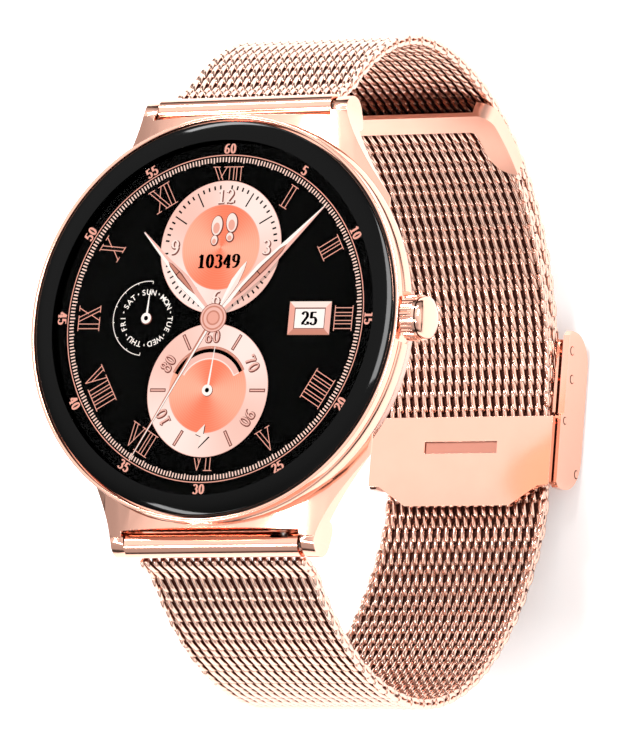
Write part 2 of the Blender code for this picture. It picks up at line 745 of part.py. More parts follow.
def build_tail_tip():
    """U-shaped cap over the strap's free end, curved with it and wrapped round its corners."""
    line = [tail_point(-TIP_END_DEG - TIP_SPAN_DEG * (1 - i / TIP_STEPS)) for i in range(TIP_STEPS + 1)]
    low = STRAP_THICK / 2 + TIP_GAP
    face = band_outline(line, low + TIP_THICK, -low)
    tip = plate("tail_tip", [face], -TIP_HALF - 1, TIP_HALF + 1, parts, polished, "X")
    end, root = Vector((0, *line[-1])), Vector((0, *line[0]))
    along = (end - root).normalized()
    turn = Matrix(((1, 0, 0, 0), (0, along.y, -along.z, 0), (0, along.z, along.y, 0), (0, 0, 0, 1)))
    place = Matrix.Translation(at(*end)) @ turn @ Matrix.Translation(-at(0, 0, 0))
    cap = plate("cut_tip_plan", [tip_plan()], -4, 4, cutters)
    cap.matrix_world = place
    boolean(tip, cap, "INTERSECT")
    wall_face = band_outline(line, low + TIP_THICK / 2, STRAP_THICK / 2)
    band = plate("cut_tip_band", [wall_face], -TIP_HALF - 1, TIP_HALF + 1, cutters, along="X")
    for name, side in (("right", 1), ("left", -1)):
        hook = plate(f"cut_tip_hook_{name}", [tip_hook(side)], -4, 4, cutters)
        hook.matrix_world = place
        boolean(hook, band, "INTERSECT")
        boolean(tip, hook, "UNION")
    join(tip)


def build_clasp():
    build_frame()
    build_cover()
    build_lock_plate()
    build_rails()
    build_bracket()


def build():
    build_head()
    build_inside()
    build_crown()
    for side, sign in (("upper", 1), ("lower", -1)):
        build_end_bar(side, sign)
    build_strap("upper_mesh", upper_line(), 1)
    build_strap("lower_mesh", lower_line(), -1)
    build_tail_tip()
    build_clasp()


clear_scene()
parts = new_collection("smartwatch")
cutters = new_collection("cutters", hidden=True)
rose = material("rose_satin", ROSE, 0.25, 1.0)
polished = material("rose_polished", ROSE, 0.1, 1.0)
glass = material("cover_glass", BLACK, 0.03, 0.0)
black = material("black_gloss", BLACK, 0.08, 0.0)
rubber = material("rubber", (0.02, 0.02, 0.02, 1), 0.7, 0.0)
dark_plastic = material("dark_plastic", (0.03, 0.03, 0.035, 1), 0.5, 0.0)
steel = material("steel", (0.6, 0.6, 0.6, 1), 0.3, 1.0)
brass = material("brass", (0.75, 0.6, 0.3, 1), 0.3, 1.0)
gold = material("gold_contact", (0.9, 0.68, 0.3, 1), 0.2, 1.0)
board_green = material("board", (0.02, 0.12, 0.06, 1), 0.5, 0.0)
battery_grey = material("battery", (0.5, 0.5, 0.52, 1), 0.4, 0.6)
build()
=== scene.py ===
"""Looks of a round smartwatch on a closed woven-mesh band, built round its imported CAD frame.

Metres, +Z up, the dial facing +Z with 12 o'clock at +Y and the crown at +X. Sizes inside the
functions are millimetres from the centre of the glass's underside, as on a watchmaker's drawing.
"""

import json
import math

import bpy
import numpy as np
from bpy.props import FloatProperty, FloatVectorProperty, IntProperty, PointerProperty
from mathutils import Matrix, Vector

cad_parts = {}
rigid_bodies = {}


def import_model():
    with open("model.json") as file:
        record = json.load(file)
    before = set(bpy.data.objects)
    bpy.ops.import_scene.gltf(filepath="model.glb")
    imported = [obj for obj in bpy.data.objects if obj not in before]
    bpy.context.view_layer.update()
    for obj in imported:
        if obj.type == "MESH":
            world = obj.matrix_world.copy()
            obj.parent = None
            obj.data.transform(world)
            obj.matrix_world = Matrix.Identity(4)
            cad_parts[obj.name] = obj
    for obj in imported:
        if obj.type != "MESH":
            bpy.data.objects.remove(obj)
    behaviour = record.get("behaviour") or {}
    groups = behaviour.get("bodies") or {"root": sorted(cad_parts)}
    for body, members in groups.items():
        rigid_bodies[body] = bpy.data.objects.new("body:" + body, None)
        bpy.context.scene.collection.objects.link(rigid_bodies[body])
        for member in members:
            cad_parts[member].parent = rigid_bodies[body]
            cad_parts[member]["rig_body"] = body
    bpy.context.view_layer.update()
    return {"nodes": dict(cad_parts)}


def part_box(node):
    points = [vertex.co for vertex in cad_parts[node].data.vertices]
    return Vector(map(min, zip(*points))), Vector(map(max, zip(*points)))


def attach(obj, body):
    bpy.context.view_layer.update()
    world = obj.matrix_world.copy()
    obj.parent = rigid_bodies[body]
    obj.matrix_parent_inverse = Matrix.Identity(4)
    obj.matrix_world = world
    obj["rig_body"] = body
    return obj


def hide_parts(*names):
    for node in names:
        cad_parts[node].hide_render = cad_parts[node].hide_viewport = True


bl_info = {
    "name": "Mesh Band Smartwatch",
    "version": (1, 0, 0),
    "blender": (4, 5, 0),
    "location": "View3D > Sidebar > Smartwatch",
    "description": "Builds the finishes, woven band, lit dial and studio of a smartwatch",
    "category": "Object",
}

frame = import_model()

MM = 0.001
DIAL_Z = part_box("cover_glass")[0].z
STRAP_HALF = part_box("upper_mesh")[1].x / MM
FULL_TURN = 2 * math.pi
ROUND_STEPS = 192
BEZEL_WIDTH = 0.4
BEZEL_ROUND = 0.13
JOIN_DISTANCE = 0.000002
GRAIN_DEPTH = 0.00002


# ---------------------------------------------------------------- settings


def colour_setting(name, description, value):
    return FloatVectorProperty(
        name=name, description=description, subtype="COLOR", size=3, min=0, max=1, default=value
    )


def length_setting(name, description, value):
    return FloatProperty(
        name=name, description=description, subtype="DISTANCE", unit="LENGTH", default=value
    )


class SmartwatchFinish(bpy.types.PropertyGroup):
    """Colours and polish of the metal."""

    rose: colour_setting("Rose gold", "Colour of the plated metal", (0.93, 0.52, 0.40))
    wire: colour_setting("Wire", "Colour of the woven wire", (0.90, 0.60, 0.49))
    shade: colour_setting("Weave shadow", "Colour deep between the wires", (0.09, 0.022, 0.014))
    polish: FloatProperty(
        name="Polish roughness", description="Roughness of polished metal", min=0, max=1, default=0.11
    )
    satin: FloatProperty(
        name="Satin roughness", description="Roughness of the wires and rails", min=0, max=1, default=0.17
    )


class SmartwatchBand(bpy.types.PropertyGroup):
    """Sizes of the woven band."""

    column_pitch: length_setting("Column pitch", "One turn of a coil along its row", 0.001)
    row_pitch: length_setting("Row pitch", "From one row of coils to the next", 0.00146)
    long_reach: length_setting("Long reach", "Half the height of the coils that lie on top", 0.00122)
    short_reach: length_setting("Short reach", "Half the height of the coils between them", 0.00100)
    wire: length_setting("Wire radius", "Radius of the woven wire", 0.0003)
    row_shift: FloatProperty(
        name="Row shift", description="Step between the lower strap's rows, in column pitches", default=0.03
    )
    turn_steps: IntProperty(
        name="Steps per turn", description="Rings of points in one turn", default=10, min=6
    )
    wire_sides: IntProperty(name="Wire sides", description="Points round the wire", default=6, min=3)


class SmartwatchDial(bpy.types.PropertyGroup):
    """Layout and inks of the lit dial."""

    turn: FloatProperty(
        name="Dial turn",
        description="How far the picture is turned clockwise from the case",
        subtype="ANGLE",
        default=math.radians(1.0),
    )
    track_radius: length_setting("Track radius", "Radius of the ring outside the minute ticks", 0.01742)
    numeral_radius: length_setting("Minute numeral radius", "Where the minute numerals stand", 0.01812)
    roman_radius: length_setting("Roman numeral radius", "Where the hour numerals stand", 0.0149)
    subdial_radius: length_setting("Subdial radius", "Outer radius of the two round subdials", 0.00710)
    disc_radius: length_setting("Disc radius", "Radius of the coral disc in a subdial", 0.00455)
    glow: FloatProperty(name="Screen glow", description="Brightness of the display", default=1.08, min=0)


class SmartwatchStage(bpy.types.PropertyGroup):
    """Floor, light and camera."""

    floor: colour_setting("Floor", "Colour of the plain floor", (0.93, 0.93, 0.93))
    floor_size: length_setting("Floor size", "Side of the floor", 4.0)
    key: FloatProperty(name="Key light", description="Power of the overhead light", unit="POWER", default=8.0)
    rim: FloatProperty(name="Side light", description="Power of the side lights", unit="POWER", default=4.0)
    room: FloatProperty(name="Room light", description="Brightness of the soft surroundings", default=1.0)
    lens: FloatProperty(name="Lens", description="Focal length in millimetres", unit="CAMERA", default=464.6)


SETTINGS = {
    "smartwatch_finish": SmartwatchFinish,
    "smartwatch_band": SmartwatchBand,
    "smartwatch_dial": SmartwatchDial,
    "smartwatch_stage": SmartwatchStage,
}


# ---------------------------------------------------------------- mesh helpers


def at(x, y, z):
    """World position of a point given in millimetres from the dial's centre."""
    return Vector((x * MM, y * MM, DIAL_Z + z * MM))


def from_dial(points):
    """World positions of many such points."""
    return np.asarray(points, float) * MM + np.array((0.0, 0.0, DIAL_Z))


def new_piece(name, points, faces, finishes, body, smooth=True, replaced=(), inks=None):
    """A mesh piece on its body; inks gives each face the number of its finish."""
    mesh = bpy.data.meshes.new(name)
    mesh.from_pydata([tuple(p) for p in points], [], faces)
    for finish in finishes:
        mesh.materials.append(finish)
    if inks is not None:
        mesh.polygons.foreach_set("material_index", inks)
    if smooth:
        mesh.shade_smooth()
    mesh.update()
    obj = bpy.data.objects.new(name, mesh)
    bpy.context.scene.collection.objects.link(obj)
    return seat(obj, body, replaced)


def seat(obj, body, replaced=()):
    """Puts a finished piece on its body and the CAD nodes it stands for."""
    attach(obj, body)
    if replaced:
        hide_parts(*replaced)
    return obj


def lathe(profile, steps):
    """Points and faces of a turned shape; profile is (radius, height), closed when it ends at the axis."""
    points = []
    rows = []
    for radius, height in profile:
        if radius == 0:
            rows.append([len(points)] * steps)
            points.append((0.0, 0.0, height))
            continue
        rows.append(list(range(len(points), len(points) + steps)))
        for i in range(steps):
            angle = FULL_TURN * i / steps
            points.append((radius * math.cos(angle), radius * math.sin(angle), height))
    faces = []
    for upper, lower in zip(rows, rows[1:]):
        for i in range(steps):
            j = (i + 1) % steps
            corners = [upper[i], lower[i], lower[j], upper[j]]
            faces.append(list(dict.fromkeys(corners)))
    return points, faces


def rounded(corners, radius, steps=4):
    """A closed profile whose corners are rounded."""
    made = []
    count = len(corners)
    for i, corner in enumerate(corners):
        here = np.array(corner, float)
        before = np.array(corners[i - 1], float) - here
        after = np.array(corners[(i + 1) % count], float) - here
        reach = min(radius, np.linalg.norm(before) / 2.1, np.linalg.norm(after) / 2.1)
        start = here + before / np.linalg.norm(before) * reach
        end = here + after / np.linalg.norm(after) * reach
        for j in range(steps + 1):
            share = j / steps
            point = (1 - share) ** 2 * start + 2 * share * (1 - share) * here + share**2 * end
            made.append(tuple(point))
    return made


def dress(names, finish, bevel=0.0, sharp=32):
    """Gives CAD nodes their finish, with softened edges and smooth curved faces."""
    for name in names:
        obj = frame["nodes"][name]
        mesh = obj.data
        mesh.materials.clear()
        mesh.materials.append(finish)
        if "custom_normal" in mesh.attributes:
            mesh.attributes.remove(mesh.attributes["custom_normal"])
        mesh.shade_smooth()
        join = obj.modifiers.new("join", "WELD")
        join.merge_threshold = JOIN_DISTANCE
        if bevel:
            edges = obj.modifiers.new("edges", "BEVEL")
            edges.width = bevel * MM
            edges.segments = 3
            edges.limit_method = "ANGLE"
            edges.angle_limit = math.radians(sharp)
            edges.harden_normals = True
        else:
            split = obj.modifiers.new("split", "EDGE_SPLIT")
            split.split_angle = math.radians(sharp)
        weighted = obj.modifiers.new("weighted", "WEIGHTED_NORMAL")
        weighted.keep_sharp = True


# ---------------------------------------------------------------- finishes


def new_group(name, inputs, outputs):
    """A shader node group with named inputs (kind, name, default) and outputs (kind, name)."""
    group = bpy.data.node_groups.new(name, "ShaderNodeTree")
    for kind, label, default in inputs:
        socket = group.interface.new_socket(label, in_out="INPUT", socket_type=kind)
        socket.default_value = default
    for kind, label in outputs:
        group.interface.new_socket(label, in_out="OUTPUT", socket_type=kind)
    return group, group.nodes.new("NodeGroupInput"), group.nodes.new("NodeGroupOutput")


def math_node(tree, operation, first, second=None):
    node = tree.nodes.new("ShaderNodeMath")
    node.operation = operation
    for socket, value in zip(node.inputs, (first, second)):
        if value is None:
            continue
        if isinstance(value, (int, float)):
            socket.default_value = value
        else:
            tree.links.new(value, socket)
    return node.outputs[0]


def mix_colour(tree, share, first, second, blend="MIX"):
    node = tree.nodes.new("ShaderNodeMix")
    node.data_type = "RGBA"
    node.blend_type = blend
    for socket, value in ((node.inputs[0], share), (node.inputs[6], first), (node.inputs[7], second)):
        if isinstance(value, (int, float, tuple)):
            socket.default_value = value
        else:
            tree.links.new(value, socket)
    return node.outputs[2]


def wear_group():
    """Fine handling marks: uneven gloss, and a slight change of tone."""
    name = "handling_wear"
    if name in bpy.data.node_groups:
        return bpy.data.node_groups[name]
    group, source, result = new_group(
        name,
        [
            ("NodeSocketColor", "Colour", (1, 1, 1, 1)),
            ("NodeSocketFloat", "Gloss", 0.1),
            ("NodeSocketFloat", "Unevenness", 0.04),
            ("NodeSocketFloat", "Grain", 900.0),
        ],
        [("NodeSocketColor", "Colour"), ("NodeSocketFloat", "Roughness"), ("NodeSocketFloat", "Height")],
    )
    place = group.nodes.new("ShaderNodeTexCoord")
    smudge = group.nodes.new("ShaderNodeTexNoise")
    smudge.inputs["Scale"].default_value = 260.0
    smudge.inputs["Detail"].default_value = 3.0
    group.links.new(place.outputs["Object"], smudge.inputs["Vector"])
    grain = group.nodes.new("ShaderNodeTexNoise")
    grain.inputs["Detail"].default_value = 2.0
    group.links.new(place.outputs["Object"], grain.inputs["Vector"])
    group.links.new(source.outputs["Grain"], grain.inputs["Scale"])
    centred = math_node(group, "SUBTRACT", smudge.outputs["Fac"], 0.5)
    spread = math_node(group, "MULTIPLY", centred, source.outputs["Unevenness"])
    doubled = math_node(group, "MULTIPLY", spread, 2.0)
    group.links.new(math_node(group, "ADD", source.outputs["Gloss"], doubled), result.inputs["Roughness"])
    deeper = mix_colour(group, 1.0, source.outputs["Colour"], (0.97, 0.92, 0.9, 1), "MULTIPLY")
    toned = mix_colour(group, smudge.outputs["Fac"], source.outputs["Colour"], deeper)
    group.links.new(toned, result.inputs["Colour"])
    group.links.new(grain.outputs["Fac"], result.inputs["Height"])
    return group


def sunray_group():
    """Brushed disc: light and dark fans round the middle, with fine engraved rings."""
    name = "sunray_disc"
    if name in bpy.data.node_groups:
        return bpy.data.node_groups[name]
    group, source, result = new_group(
        name,
        [
            ("NodeSocketColor", "Light", (1, 1, 1, 1)),
            ("NodeSocketColor", "Dark", (0, 0, 0, 1)),
            ("NodeSocketFloat", "Fan Turn", 0.0),
            ("NodeSocketFloat", "Rings Per Metre", 4000.0),
            ("NodeSocketFloat", "Ring Depth", 0.0),
        ],
        [("NodeSocketColor", "Colour")],
    )
    place = group.nodes.new("ShaderNodeTexCoord")
    parts = group.nodes.new("ShaderNodeSeparateXYZ")
    group.links.new(place.outputs["Object"], parts.inputs[0])
    angle = math_node(group, "ARCTAN2", parts.outputs["Y"], parts.outputs["X"])
    turned = math_node(group, "SUBTRACT", angle, source.outputs["Fan Turn"])
    fan = math_node(group, "COSINE", math_node(group, "MULTIPLY", turned, 2.0))
    share = math_node(group, "ADD", math_node(group, "MULTIPLY", fan, 0.5), 0.5)
    length = group.nodes.new("ShaderNodeVectorMath")
    length.operation = "LENGTH"
    group.links.new(place.outputs["Object"], length.inputs[0])
    phase = math_node(group, "MULTIPLY", length.outputs["Value"], source.outputs["Rings Per Metre"])
    rings = math_node(group, "SINE", math_node(group, "MULTIPLY", phase, FULL_TURN))
    engraved = math_node(group, "MULTIPLY", rings, source.outputs["Ring Depth"])
    total = math_node(group, "ADD", share, engraved)
    total.node.use_clamp = True
    group.links.new(
        mix_colour(group, total, source.outputs["Light"], source.outputs["Dark"]), result.inputs["Colour"]
    )
    return group


def placed(tree, group, values):
    node = tree.nodes.new("ShaderNodeGroup")
    node.node_tree = group
    for label, value in values.items():
        node.inputs[label].default_value = value
    return node


def new_material(name):
    material = bpy.data.materials.new(name)
    material.use_nodes = True
    tree = material.node_tree
    return material, tree, tree.nodes["Principled BSDF"]


def worn_finish(name, colour, gloss, metallic=1.0, unevenness=0.03, grain=1500.0, relief=0.01):
    """Metal or plastic with handling wear."""
    if name in bpy.data.materials:
        return bpy.data.materials[name]
    material, tree, shader = new_material(name)
    values = {"Colour": (*colour, 1), "Gloss": gloss, "Unevenness": unevenness, "Grain": grain}
    wear = placed(tree, wear_group(), values)
    tree.links.new(wear.outputs["Colour"], shader.inputs["Base Color"])
    tree.links.new(wear.outputs["Roughness"], shader.inputs["Roughness"])
    shader.inputs["Metallic"].default_value = metallic
    bump = tree.nodes.new("ShaderNodeBump")
    bump.inputs["Strength"].default_value = relief
    bump.inputs["Distance"].default_value = GRAIN_DEPTH
    tree.links.new(wear.outputs["Height"], bump.inputs["Height"])
    tree.links.new(bump.outputs["Normal"], shader.inputs["Normal"])
    return material


def finish_settings():
    return bpy.context.scene.smartwatch_finish


def polished_rose():
    """Polished plating, on most of the case and clasp."""
    settings = finish_settings()
    return worn_finish("rose_polished_metal", tuple(settings.rose), settings.polish)


def satin_rose():
    """Satin plating, on the rails of the clasp."""
    settings = finish_settings()
    return worn_finish("rose_satin_metal", tuple(settings.rose), settings.satin, relief=0.05)


def brushed_rose():
    """Softly brushed plating, on the tail tip."""
    return worn_finish("rose_brushed_metal", tuple(finish_settings().rose), 0.36, relief=0.04)


def crown_group():
    """Height of a face that is slightly crowned along one direction."""
    name = "crowned_face"
    if name in bpy.data.node_groups:
        return bpy.data.node_groups[name]
    group, source, result = new_group(
        name,
        [("NodeSocketFloat", "Middle", 0.0), ("NodeSocketFloat", "Curvature", 7.0)],
        [("NodeSocketFloat", "Height")],
    )
    place = group.nodes.new("ShaderNodeTexCoord")
    parts = group.nodes.new("ShaderNodeSeparateXYZ")
    group.links.new(place.outputs["Object"], parts.inputs[0])
    away = math_node(group, "SUBTRACT", parts.outputs["Y"], source.outputs["Middle"])
    square = math_node(group, "MULTIPLY", away, away)
    sunk = math_node(group, "MULTIPLY", square, source.outputs["Curvature"])
    group.links.new(math_node(group, "MULTIPLY", sunk, -1.0), result.inputs["Height"])
    return group


def crowned_rose(middle, curvature):
    """Polished metal on a wide face that is slightly crowned."""
    settings = finish_settings()
    material = worn_finish("rose_crowned_metal", tuple(settings.rose), settings.polish)
    tree = material.node_tree
    crown = placed(tree, crown_group(), {"Middle": middle, "Curvature": curvature})
    bump = tree.nodes.new("ShaderNodeBump")
    bump.inputs["Distance"].default_value = 1.0
    tree.links.new(crown.outputs["Height"], bump.inputs["Height"])
    fine = next(node for node in tree.nodes if node.bl_idname == "ShaderNodeBump" and node is not bump)
    tree.links.new(bump.outputs["Normal"], fine.inputs["Normal"])
    return material


def steel():
    return worn_finish("bright_steel", (0.62, 0.6, 0.58), 0.25)


def dark_plastic():
    return worn_finish("dark_moulded_plastic", (0.02, 0.02, 0.022), 0.5, 0.0, 0.1, 3000.0, 0.2)


def weave_finish():
    """Rose wire with painted shade: it darkens towards the weave-shadow colour where it dives between its
    neighbours.
    """
    name = "rose_woven_wire"
    if name in bpy.data.materials:
        return bpy.data.materials[name]
    settings = finish_settings()
    material, tree, shader = new_material(name)
    values = {"Colour": (*settings.wire, 1), "Gloss": settings.satin, "Unevenness": 0.05, "Grain": 2500.0}
    wear = placed(tree, wear_group(), values)
    depth = tree.nodes.new("ShaderNodeAttribute")
    depth.attribute_name = "wire_height"
    spread = tree.nodes.new("ShaderNodeMapRange")
    spread.inputs["From Min"].default_value = 0.2
    spread.inputs["From Max"].default_value = 0.75
    tree.links.new(depth.outputs["Fac"], spread.inputs["Value"])
    # Painted shade: the wire's colour is mixed towards the shadow colour where the wire lies low in the
    # weave.
    toned = mix_colour(tree, spread.outputs["Result"], (*settings.shade, 1), wear.outputs["Colour"])
    tree.links.new(toned, shader.inputs["Base Color"])
    tree.links.new(wear.outputs["Roughness"], shader.inputs["Roughness"])
    shader.inputs["Metallic"].default_value = 1.0
    return material


def core_finish():
    """A dark sheet standing for the shade deep inside the weave: painted shade."""
    return worn_finish("weave_core_shadow", tuple(finish_settings().shade), 0.6, 0.6, 0.1)


INK_COLOURS = {
    "copper_light": (0.86, 0.40, 0.31),
    "tick": (0.94, 0.66, 0.56),
    "pale": (1.0, 0.78, 0.70),
    "pink": (0.90, 0.50, 0.42),
    "white": (1.0, 0.92, 0.86),
    "brown": (0.20, 0.06, 0.045),
    "hub_dark": (0.30, 0.10, 0.07),
    "hub_mid": (0.62, 0.25, 0.18),
    "black": (0.0, 0.0, 0.0),
}

# Light and dark colour, turn of the bright fan in degrees, depth of the engraved rings.
BRUSHED_INKS = {
    "pale_ring": ((1.0, 0.80, 0.73), (0.92, 0.56, 0.47), -40, 0.0),
    "coral_disc": ((1.0, 0.44, 0.30), (1.0, 0.22, 0.12), 80, 0.10),
}
SHADOW_DENSITY = 0.32


def ink(name):
    """A lit display colour."""
    label = "ink_" + name
    if label in bpy.data.materials:
        return bpy.data.materials[label]
    material, tree, shader = new_material(label)
    shader.inputs["Base Color"].default_value = (0, 0, 0, 1)
    shader.inputs["Specular IOR Level"].default_value = 0.0
    shader.inputs["Roughness"].default_value = 1.0
    if name in BRUSHED_INKS:
        light, dark, turn, depth = BRUSHED_INKS[name]
        values = {
            "Light": (*light, 1), "Dark": (*dark, 1), "Fan Turn": math.radians(turn), "Ring Depth": depth,
        }
        rays = placed(tree, sunray_group(), values)
        tree.links.new(rays.outputs["Colour"], shader.inputs["Emission Color"])
    elif name == "shadow":
        shader.inputs["Alpha"].default_value = SHADOW_DENSITY
        return material
    else:
        shader.inputs["Emission Color"].default_value = (*INK_COLOURS[name], 1)
    shader.inputs["Emission Strength"].default_value = bpy.context.scene.smartwatch_dial.glow
    return material


# ---------------------------------------------------------------- woven band

# The straps' centrelines, as in the solids they replace: quarter ovals, a ramp and a tail.
LOOP_A = 35.15
UPPER_LOOP = {"low": 34.85, "centre": -27.5, "top": 28.35}
LOWER_LOOP = {"low": 30.85, "centre": -32.0, "top": 33.65}
BAR = (23.25, -4.5)
STRAP_START = (1.25, -1.35)
UPPER_SWEEP = (41.0, -87.35)
LOWER_SWEEP_START = 43.5
RAMP = (-12.0, 1.0)
TAIL_DROP = 1.62
TAIL_END = -25.0

STRAP_FACE = 0.65
SECOND_ROW_SINK = 0.07
EDGE_MARGIN = 0.1
BAR_OVERLAP = 0.3
LINK_HALF = 0.78
LINK_STEPS = 14
LINK_INSET = 0.02
LINK_STAGGER = 0.14
# Sizes of the dark sheet of painted shade inside the weave.
CORE_END_GAP = 0.6
CORE_SIDE_GAP = 0.75
CORE_FACE = 0.1
CORE_STATIONS = 220


def loop_point(side, loop, degrees, inset=0.0):
    """Point of a loop quarter; 0 degrees is the widest place, -90 the bottom."""
    angle = math.radians(degrees)
    height = loop["top"] if degrees > 0 else loop["low"]
    y = side * (LOOP_A - inset) * math.cos(angle)
    return y, loop["centre"] + (height - inset) * math.sin(angle)


def loop_bottom(y, loop, inset=0.0):
    reach = loop["low"] - inset
    return loop["centre"] - reach * math.sqrt(1 - (y / (LOOP_A - inset)) ** 2)


def upper_line(steps=160):
    """Centreline of the 12 o'clock strap, in (y, height)."""
    start, end = UPPER_SWEEP
    line = [(BAR[0] + STRAP_START[0], BAR[1] + STRAP_START[1])]
    line += [loop_point(1, UPPER_LOOP, start + (end - start) * i / steps) for i in range(steps + 1)]
    return line


def lower_line(steps=160):
    """Centreline of the 6 o'clock strap, through the clasp and up inside the other."""
    first, last = RAMP
    line = [(-BAR[0] - STRAP_START[0], BAR[1] + STRAP_START[1])]
    low_end = -math.degrees(math.acos(first / -LOOP_A))
    for i in range(steps):
        degrees = LOWER_SWEEP_START + (low_end - LOWER_SWEEP_START) * i / steps
        line.append(loop_point(-1, LOWER_LOOP, degrees))
    for i in range(steps // 2 + 1):
        share = i / (steps // 2)
        y = first + (last - first) * share
        weight = share * share * (3 - 2 * share)
        outside = loop_bottom(y, LOWER_LOOP)
        inside = loop_bottom(y, UPPER_LOOP, TAIL_DROP)
        line.append((y, outside + (inside - outside) * weight))
    tail_start = -math.degrees(math.acos(last / (LOOP_A - TAIL_DROP)))
    for i in range(1, steps):
        share = i / (steps - 1)
        degrees = tail_start + (TAIL_END - tail_start) * share
        line.append(loop_point(1, UPPER_LOOP, degrees, TAIL_DROP))
    return line


class StrapPath:
    """Places points given by (across, along, out of the face) on a strap's curved centreline."""

    def __init__(self, line):
        self.line = np.array(line, float)
        steps = np.diff(self.line, axis=0)
        self.along = np.concatenate(([0.0], np.cumsum(np.hypot(steps[:, 0], steps[:, 1]))))
        slope = np.gradient(self.line, self.along, axis=0)
        self.slope = slope / np.hypot(slope[:, 0], slope[:, 1])[:, None]
        self.length = self.along[-1]

    def place(self, across, along, out):
        y = np.interp(along, self.along, self.line[:, 0])
        z = np.interp(along, self.along, self.line[:, 1])
        dy = np.interp(along, self.along, self.slope[:, 0])
        dz = np.interp(along, self.along, self.slope[:, 1])
        return from_dial(np.stack((across, y + dz * out, z - dy * out), axis=-1))


def swept_wire(path, radius, sides, closed=False):
    """Points (rings, sides, 3) round a wire that follows path, an array of (across, along, out)."""
    if closed:
        tangent = np.roll(path, -1, axis=0) - np.roll(path, 1, axis=0)
    else:
        tangent = np.gradient(path, axis=0)
    tangent /= np.linalg.norm(tangent, axis=1)[:, None]
    reference = np.array((1.0, 0.0, 0.0))
    first = np.cross(reference, tangent)
    first /= np.linalg.norm(first, axis=1)[:, None]
    second = np.cross(tangent, first)
    angles = np.arange(sides) * FULL_TURN / sides
    cosines, sines = np.cos(angles)[None, :, None], np.sin(angles)[None, :, None]
    ring = first[:, None, :] * cosines + second[:, None, :] * sines
    return path[:, None, :] + ring * radius


def wire_faces(rings, sides, first, closed=False):
    """Quads of a swept wire, with end caps unless it is closed."""
    i = np.arange(rings if closed else rings - 1)[:, None] * sides
    following = (i + sides) % (rings * sides) if closed else i + sides
    j = np.arange(sides)[None, :]
    k = (j + 1) % sides
    quads = np.stack((i + j, i + k, following + k, following + j), axis=-1).reshape(-1, 4) + first
    faces = quads.tolist()
    if not closed:
        faces.append([first + s for s in range(sides)][::-1])
        last = first + (rings - 1) * sides
        faces.append([last + s for s in range(sides)])
    return faces


def coil_path(half, turns, reach, out, steps, shift):
    """One row of the weave: a flattened coil that runs across the strap, begun part of a turn later."""
    t = np.linspace(0.0, FULL_TURN * turns, turns * steps + 1)
    across = half - 2 * half * t / t[-1]
    turned = t + FULL_TURN * shift
    return np.stack((across, reach * np.cos(turned), out * np.sin(turned)), axis=-1)


def weave(name, line, body, row_shift):
    """A strap of interlocked coils, with an oval link closing each row at both edges."""
    band = bpy.context.scene.smartwatch_band
    pitch, step = band.column_pitch / MM, band.row_pitch / MM
    wire, sides, steps = band.wire / MM, band.wire_sides, band.turn_steps
    path = StrapPath(line)
    reaches = (band.long_reach / MM, band.short_reach / MM)
    outs = (STRAP_FACE - wire, STRAP_FACE - wire - SECOND_ROW_SINK)
    half = STRAP_HALF - wire - EDGE_MARGIN
    turns = round(2 * half / pitch)
    margin = max(reaches) + wire - BAR_OVERLAP
    rows = int((path.length - 2 * margin) / step)
    gap = (path.length - 2 * margin) / rows
    points, faces, heights = [], [], []
    count = 0
    for row in range(rows + 1):
        centre = margin + gap * row
        kind = row % 2
        coil = coil_path(half, turns, reaches[kind], outs[kind], steps, row * row_shift)
        edge_out = STRAP_HALF - wire - LINK_INSET - LINK_STAGGER * kind
        link = np.linspace(0, FULL_TURN, LINK_STEPS + 1)[:-1]
        runs = [(coil, False)]
        for side in (-1, 1):
            sideways = np.full(LINK_STEPS, side * edge_out)
            oval = (sideways, LINK_HALF * np.cos(link), (STRAP_FACE - wire) * np.sin(link))
            runs.append((np.stack(oval, axis=-1), True))
        for run, closed in runs:
            rings = swept_wire(run, wire, sides, closed)
            flat = rings.reshape(-1, 3)
            points.append(path.place(flat[:, 0], flat[:, 1] + centre, flat[:, 2]))
            faces += wire_faces(len(run), sides, count, closed)
            heights.append(np.ones(len(flat)) if closed else np.abs(flat[:, 2]) / STRAP_FACE)
            count += len(flat)
    piece = new_piece(
        name + "_weave", np.concatenate(points), faces, [weave_finish()], body, replaced=[name]
    )
    # How high each point of a wire stands, which sets the painted shade in the wire's finish.
    depth = piece.data.attributes.new("wire_height", "FLOAT", "POINT")
    depth.data.foreach_set("value", np.concatenate(heights).astype(np.float32))
    weave_core(name, path, body)
    return piece


def weave_core(name, path, body):
    """A dark sheet through the middle of the weave: painted shade seen through the gaps between the coils."""
    stations = np.linspace(CORE_END_GAP, path.length - CORE_END_GAP, CORE_STATIONS)
    half, thick = STRAP_HALF - CORE_SIDE_GAP, CORE_FACE
    corners = ((-half, -thick), (half, -thick), (half, thick), (-half, thick))
    loops = [path.place(np.full(len(stations), x), stations, np.full(len(stations), n)) for x, n in corners]
    points = np.stack(loops, axis=1).reshape(-1, 3)
    faces = wire_faces(len(stations), 4, 0)
    # The sheet is painted shade, not wire.
    new_piece(name + "_core", points, faces, [core_finish()], body, smooth=False)


# ---------------------------------------------------------------- lit dial


def bow(cx, cy, rx, ry, start, end, steps=14):
    """Part of an ellipse, in degrees."""
    found = []
    for i in range(steps + 1):
        angle = math.radians(start + (end - start) * i / steps)
        found.append((cx + rx * math.cos(angle), cy + ry * math.sin(angle)))
    return found


